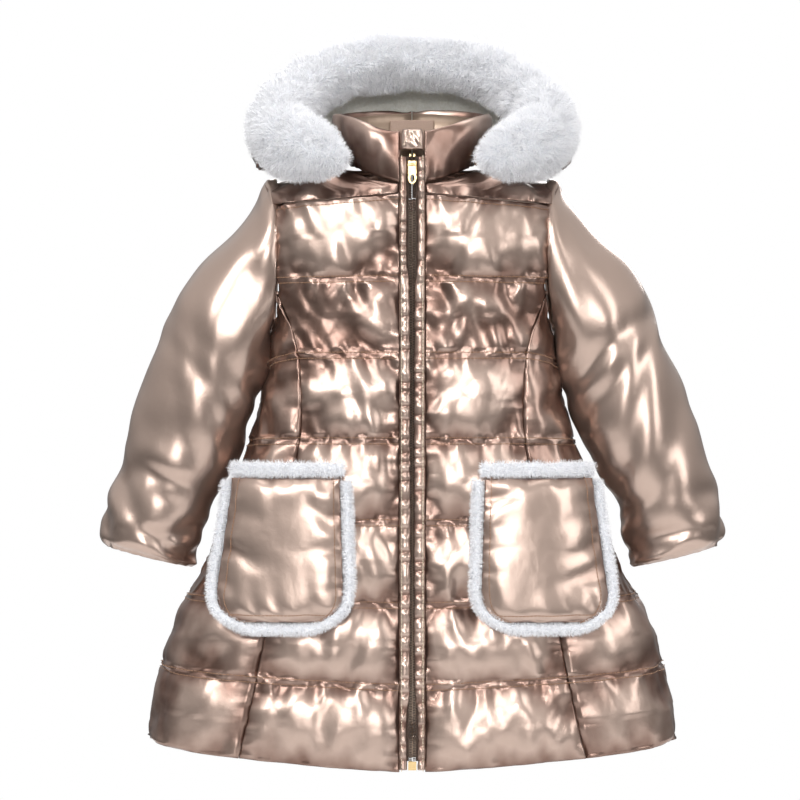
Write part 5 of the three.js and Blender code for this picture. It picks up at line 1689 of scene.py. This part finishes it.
# %% [markdown]
# Small sewn parts: the two tapes of the hidden hood zip, its slider and pull at the left, the
# cloth tab at the right, the hanger loop and the blank label.


# %% Hood tapes, loop and label
def ribbon(node, corner, inner_side, inner_back, outer_side, outer_back, body):
    turn = np.linspace(corner, 2 * np.pi - corner, 121)[:, None]
    rise = np.linspace(0, 1, 5)[None, :]
    seam = neck_point(np.where(turn < np.pi, turn, 2 * np.pi - turn))[..., 2]
    width, depth = mix(inner_side, outer_side, rise), mix(inner_back, outer_back, rise)
    ridge = 0.35 * np.sin(np.pi * rise) + 0.15 * smooth_noise(turn * 30, rise * 4, 2)
    top = np.stack([width * np.sin(turn), -depth * np.cos(turn), seam + 10.6 + ridge], -1)
    obj = pad_mesh(node + "_woven", to_frame(top), to_frame(top - [0, 0, 1.2]), TAPE, 4)
    dress(obj, node, body)


ribbon("collar_hood_tape", math.radians(58), 71.3, 52.5, 84, 63, "coat_body")
ribbon("hood_tape", math.radians(88), 85, 64, 92, 77, "hood")


def node_box(name):
    low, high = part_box(name)
    return np.array(low) * 1000, np.array(high) * 1000


def soft_block(name, node, body, material, turn, size, bulge):
    """A rounded block standing on a node's place, turned about the vertical."""
    low, high = node_box(node)
    middle = (low + high) / 2 + [0, LOOP_FORWARD, LOOP_HEIGHT]
    across, rise = np.meshgrid(np.linspace(-1, 1, 17), np.linspace(-1, 1, 17))
    dome = np.clip((1 - across**4) * (1 - rise**4), 0, 1) ** 0.5
    flat = np.stack(
        [
            across * size[0] / 2 * (1 - 0.12 * (rise + 1)), rise * size[1] / 2,
            -size[2] / 2 + dome * bulge + 0 * rise
        ],
        -1
    )
    under = flat.copy()
    under[..., 2] = -size[2] / 2
    c, s = math.cos(turn), math.sin(turn)
    spin = np.array([[c, s, 0], [-s, c, 0], [0, 0, 1]])
    obj = pad_mesh(
        name, to_frame(flat @ spin + middle), to_frame(under @ spin + middle - [0, 0, 0.2]),
        material, 4
    )
    dress(obj, node, body)
    return obj


soft_block(
    "hood_zip_slider_cast", "hood_zip_slider", "coat_body", AGED_BRASS,
    math.radians(-35), (7, 9, 3.2), 3.2
)
soft_block(
    "hood_zip_end_tab_sewn", "hood_zip_end_tab", "coat_body", COATED_SHADED_TRIM,
    math.radians(35), (8, 11, 2.4), 2.4
)
low, high = node_box("hood_zip_pull")
middle = (low + high) / 2 + [0, LOOP_FORWARD, LOOP_HEIGHT]
loops = []
for back in (-0.5, 0.5):
    for ring, grow in ((0, 1.0), (1, 0.55)):
        turn = np.linspace(0, 2 * np.pi, 28, endpoint=False)
        x = 2.0 * grow * np.sin(turn) * (1 - 0.18 * np.cos(turn))
        z = (high[2] - low[2]) / 2 * (
            0.3 * (1 - grow) + np.cos(turn) * (1.0 if ring == 0 else 0.62)
        )
        loops.append(np.stack([x, back + 0 * x, z], -1) + middle)
order = [loops[0], loops[1], loops[3], loops[2]]
obj = tube_mesh("hood_zip_pull_cast", to_frame(np.stack(order)), AGED_BRASS, False)
dress(obj, "hood_zip_pull", "hood_zip_pull")
low, high = node_box("neck_label")
across, rise = np.meshgrid(np.linspace(0, 1, 41), np.linspace(0, 1, 17))
label = np.stack(
    [
        mix(low[0], high[0], across), low[1] + 0.12 * smooth_noise(across * 9, rise * 4, 3),
        mix(low[2], high[2], rise)
    ],
    -1
)
thick = np.array([0, high[1] - low[1] - 0.15, 0])
obj = pad_mesh("neck_label_woven", label / 1000, (label + thick) / 1000, LABEL, 4)
dress(obj, "neck_label", "coat_body")
low, high = node_box("hanger_loop")
share = np.linspace(-1, 1, 49)
half = (high[0] - low[0]) / 2 - 2
sweep = np.abs(share) ** 4
path = np.stack(
    [
        half * np.sign(share) * np.abs(share) ** 0.8, mix(0.0, high[1] - 2, sweep),
        mix(high[2] - 2, low[2] + 2, np.abs(share) ** 5)
    ],
    -1
)
along = np.gradient(path, axis=0)
along = unit(along)
side_way = np.cross(along, [0, 1.0, 0])
side_way = unit(side_way)
other = np.cross(along, side_way)
turn = np.linspace(0, 2 * np.pi, 14, endpoint=False)
cord_twist = 1 + 0.1 * np.sin(3 * turn[None] + np.arange(49)[:, None] * 0.9)
roll = path[:, None] + loops_round(side_way, other, turn) * (1.8 * cord_twist)[..., None]
obj = tube_mesh("hanger_loop_rolled", roll / 1000, LINING)
dress(obj, "hanger_loop", "coat_body")
print("small parts done")

# %% Quilting stitches
for k in range(0, len(thread_paths), 6):
    stitches(f"quilting_stitches_{k // 6 + 1}", thread_paths[k : k + 6], "coat_body")
print("rows stitched:", len(thread_paths))

# %% [markdown]
# The stage: a round pale floor well below the hem, soft boxes in front, above and behind, and a
# long lens square to the front so that nothing converges. The room is dim low down, so that the
# metal coating has something dark to reflect, but the lens itself sees plain white.

# %% Stage, light and camera
paper, _, _ = new_material(
    "Studio floor, pale paper", Base_Color=(0.84, 0.84, 0.84, 1), Roughness=0.9
)
turn = np.linspace(0, 2 * np.pi, 96, endpoint=False)
rim = np.stack([1.25 * np.cos(turn), 1.25 * np.sin(turn), 0 * turn - 0.8], -1)
floor = build_mesh("studio_floor", rim, [list(range(96))], None, paper)
floor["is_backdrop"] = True


def soft_box(name, place, target, size, power, colour=(1, 1, 1)):
    light = bpy.data.lights.new(name, "AREA")
    light.shape = "RECTANGLE"
    light.size, light.size_y = size
    light.energy = power
    light.color = colour
    obj = bpy.data.objects.new(name, light)
    obj.location = place
    obj.rotation_euler = (Vector(target) - Vector(place)).to_track_quat("-Z", "Y").to_euler()
    bpy.context.scene.collection.objects.link(obj)


MIDDLE = (0, 0, -0.25)
soft_box("key_box", (-0.9, -1.9, 1.0), MIDDLE, (1.1, 1.0), 26)
soft_box("fill_box", (1.7, -1.6, 0.35), MIDDLE, (0.7, 1.5), 12)
soft_box("front_box", (0.1, -4.2, 0.1), MIDDLE, (1.4, 1.0), 24)
soft_box("top_box", (0, -0.3, 1.7), MIDDLE, (1.6, 1.2), 18)
soft_box("hood_box", (0, -2.0, 0.12), (0, 0.1, 0.05), (0.3, 0.12), 5.5)
soft_box("back_box", (0.5, 2.2, 0.9), MIDDLE, (1.8, 1.2), 30)
world = bpy.data.worlds.new("studio")
bpy.context.scene.world = world
world.use_nodes = True
tree = world.node_tree
place = add_node(tree, "ShaderNodeTexCoord").outputs["Generated"]
split = add_node(tree, "ShaderNodeSeparateXYZ", {}, Vector=place)
height = add_node(
    tree, "ShaderNodeMapRange", {"From Min": -1.0, "From Max": 1.0}, Value=split.outputs["Z"]
)
sky = ramp(
    tree, height.outputs["Result"],
    [(0.0, 0.08), (0.42, 0.16), (0.56, 0.42), (0.72, 0.95), (1.0, 1.0)]
)
tree.links.new(sky.outputs["Color"], tree.nodes["Background"].inputs["Color"])
tree.nodes["Background"].inputs["Strength"].default_value = 0.72
seen = add_node(tree, "ShaderNodeBackground", {"Color": (1, 1, 1, 1), "Strength": 1.0})
path = add_node(tree, "ShaderNodeLightPath")
chosen = add_node(
    tree, "ShaderNodeMixShader", {}, Fac=path.outputs["Is Camera Ray"],
    i1=tree.nodes["Background"].outputs[0], i2=seen.outputs[0],
)
tree.links.new(chosen.outputs[0], tree.nodes["World Output"].inputs["Surface"])
lens = bpy.data.cameras.new("front_lens")
lens.sensor_width = 36.0
lens.lens = 36.0 * 3.6 / 0.8
camera = bpy.data.objects.new("front_camera", lens)
camera.location = (-0.012, -3.6 - 0.02, -0.255)
camera.rotation_euler = (math.radians(90), 0, 0)
bpy.context.scene.collection.objects.link(camera)
bpy.context.scene.camera = camera
bpy.context.scene.view_settings.view_transform = "Standard"
print("lens, mm:", round(lens.lens, 1))

# %% Finish
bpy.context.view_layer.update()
faces_made = sum(
    len(o.data.loop_triangles) if o.data.loop_triangles else len(o.data.polygons) * 2
    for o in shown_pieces() if o.type == "MESH"
)
print("triangles shown, about:", faces_made)
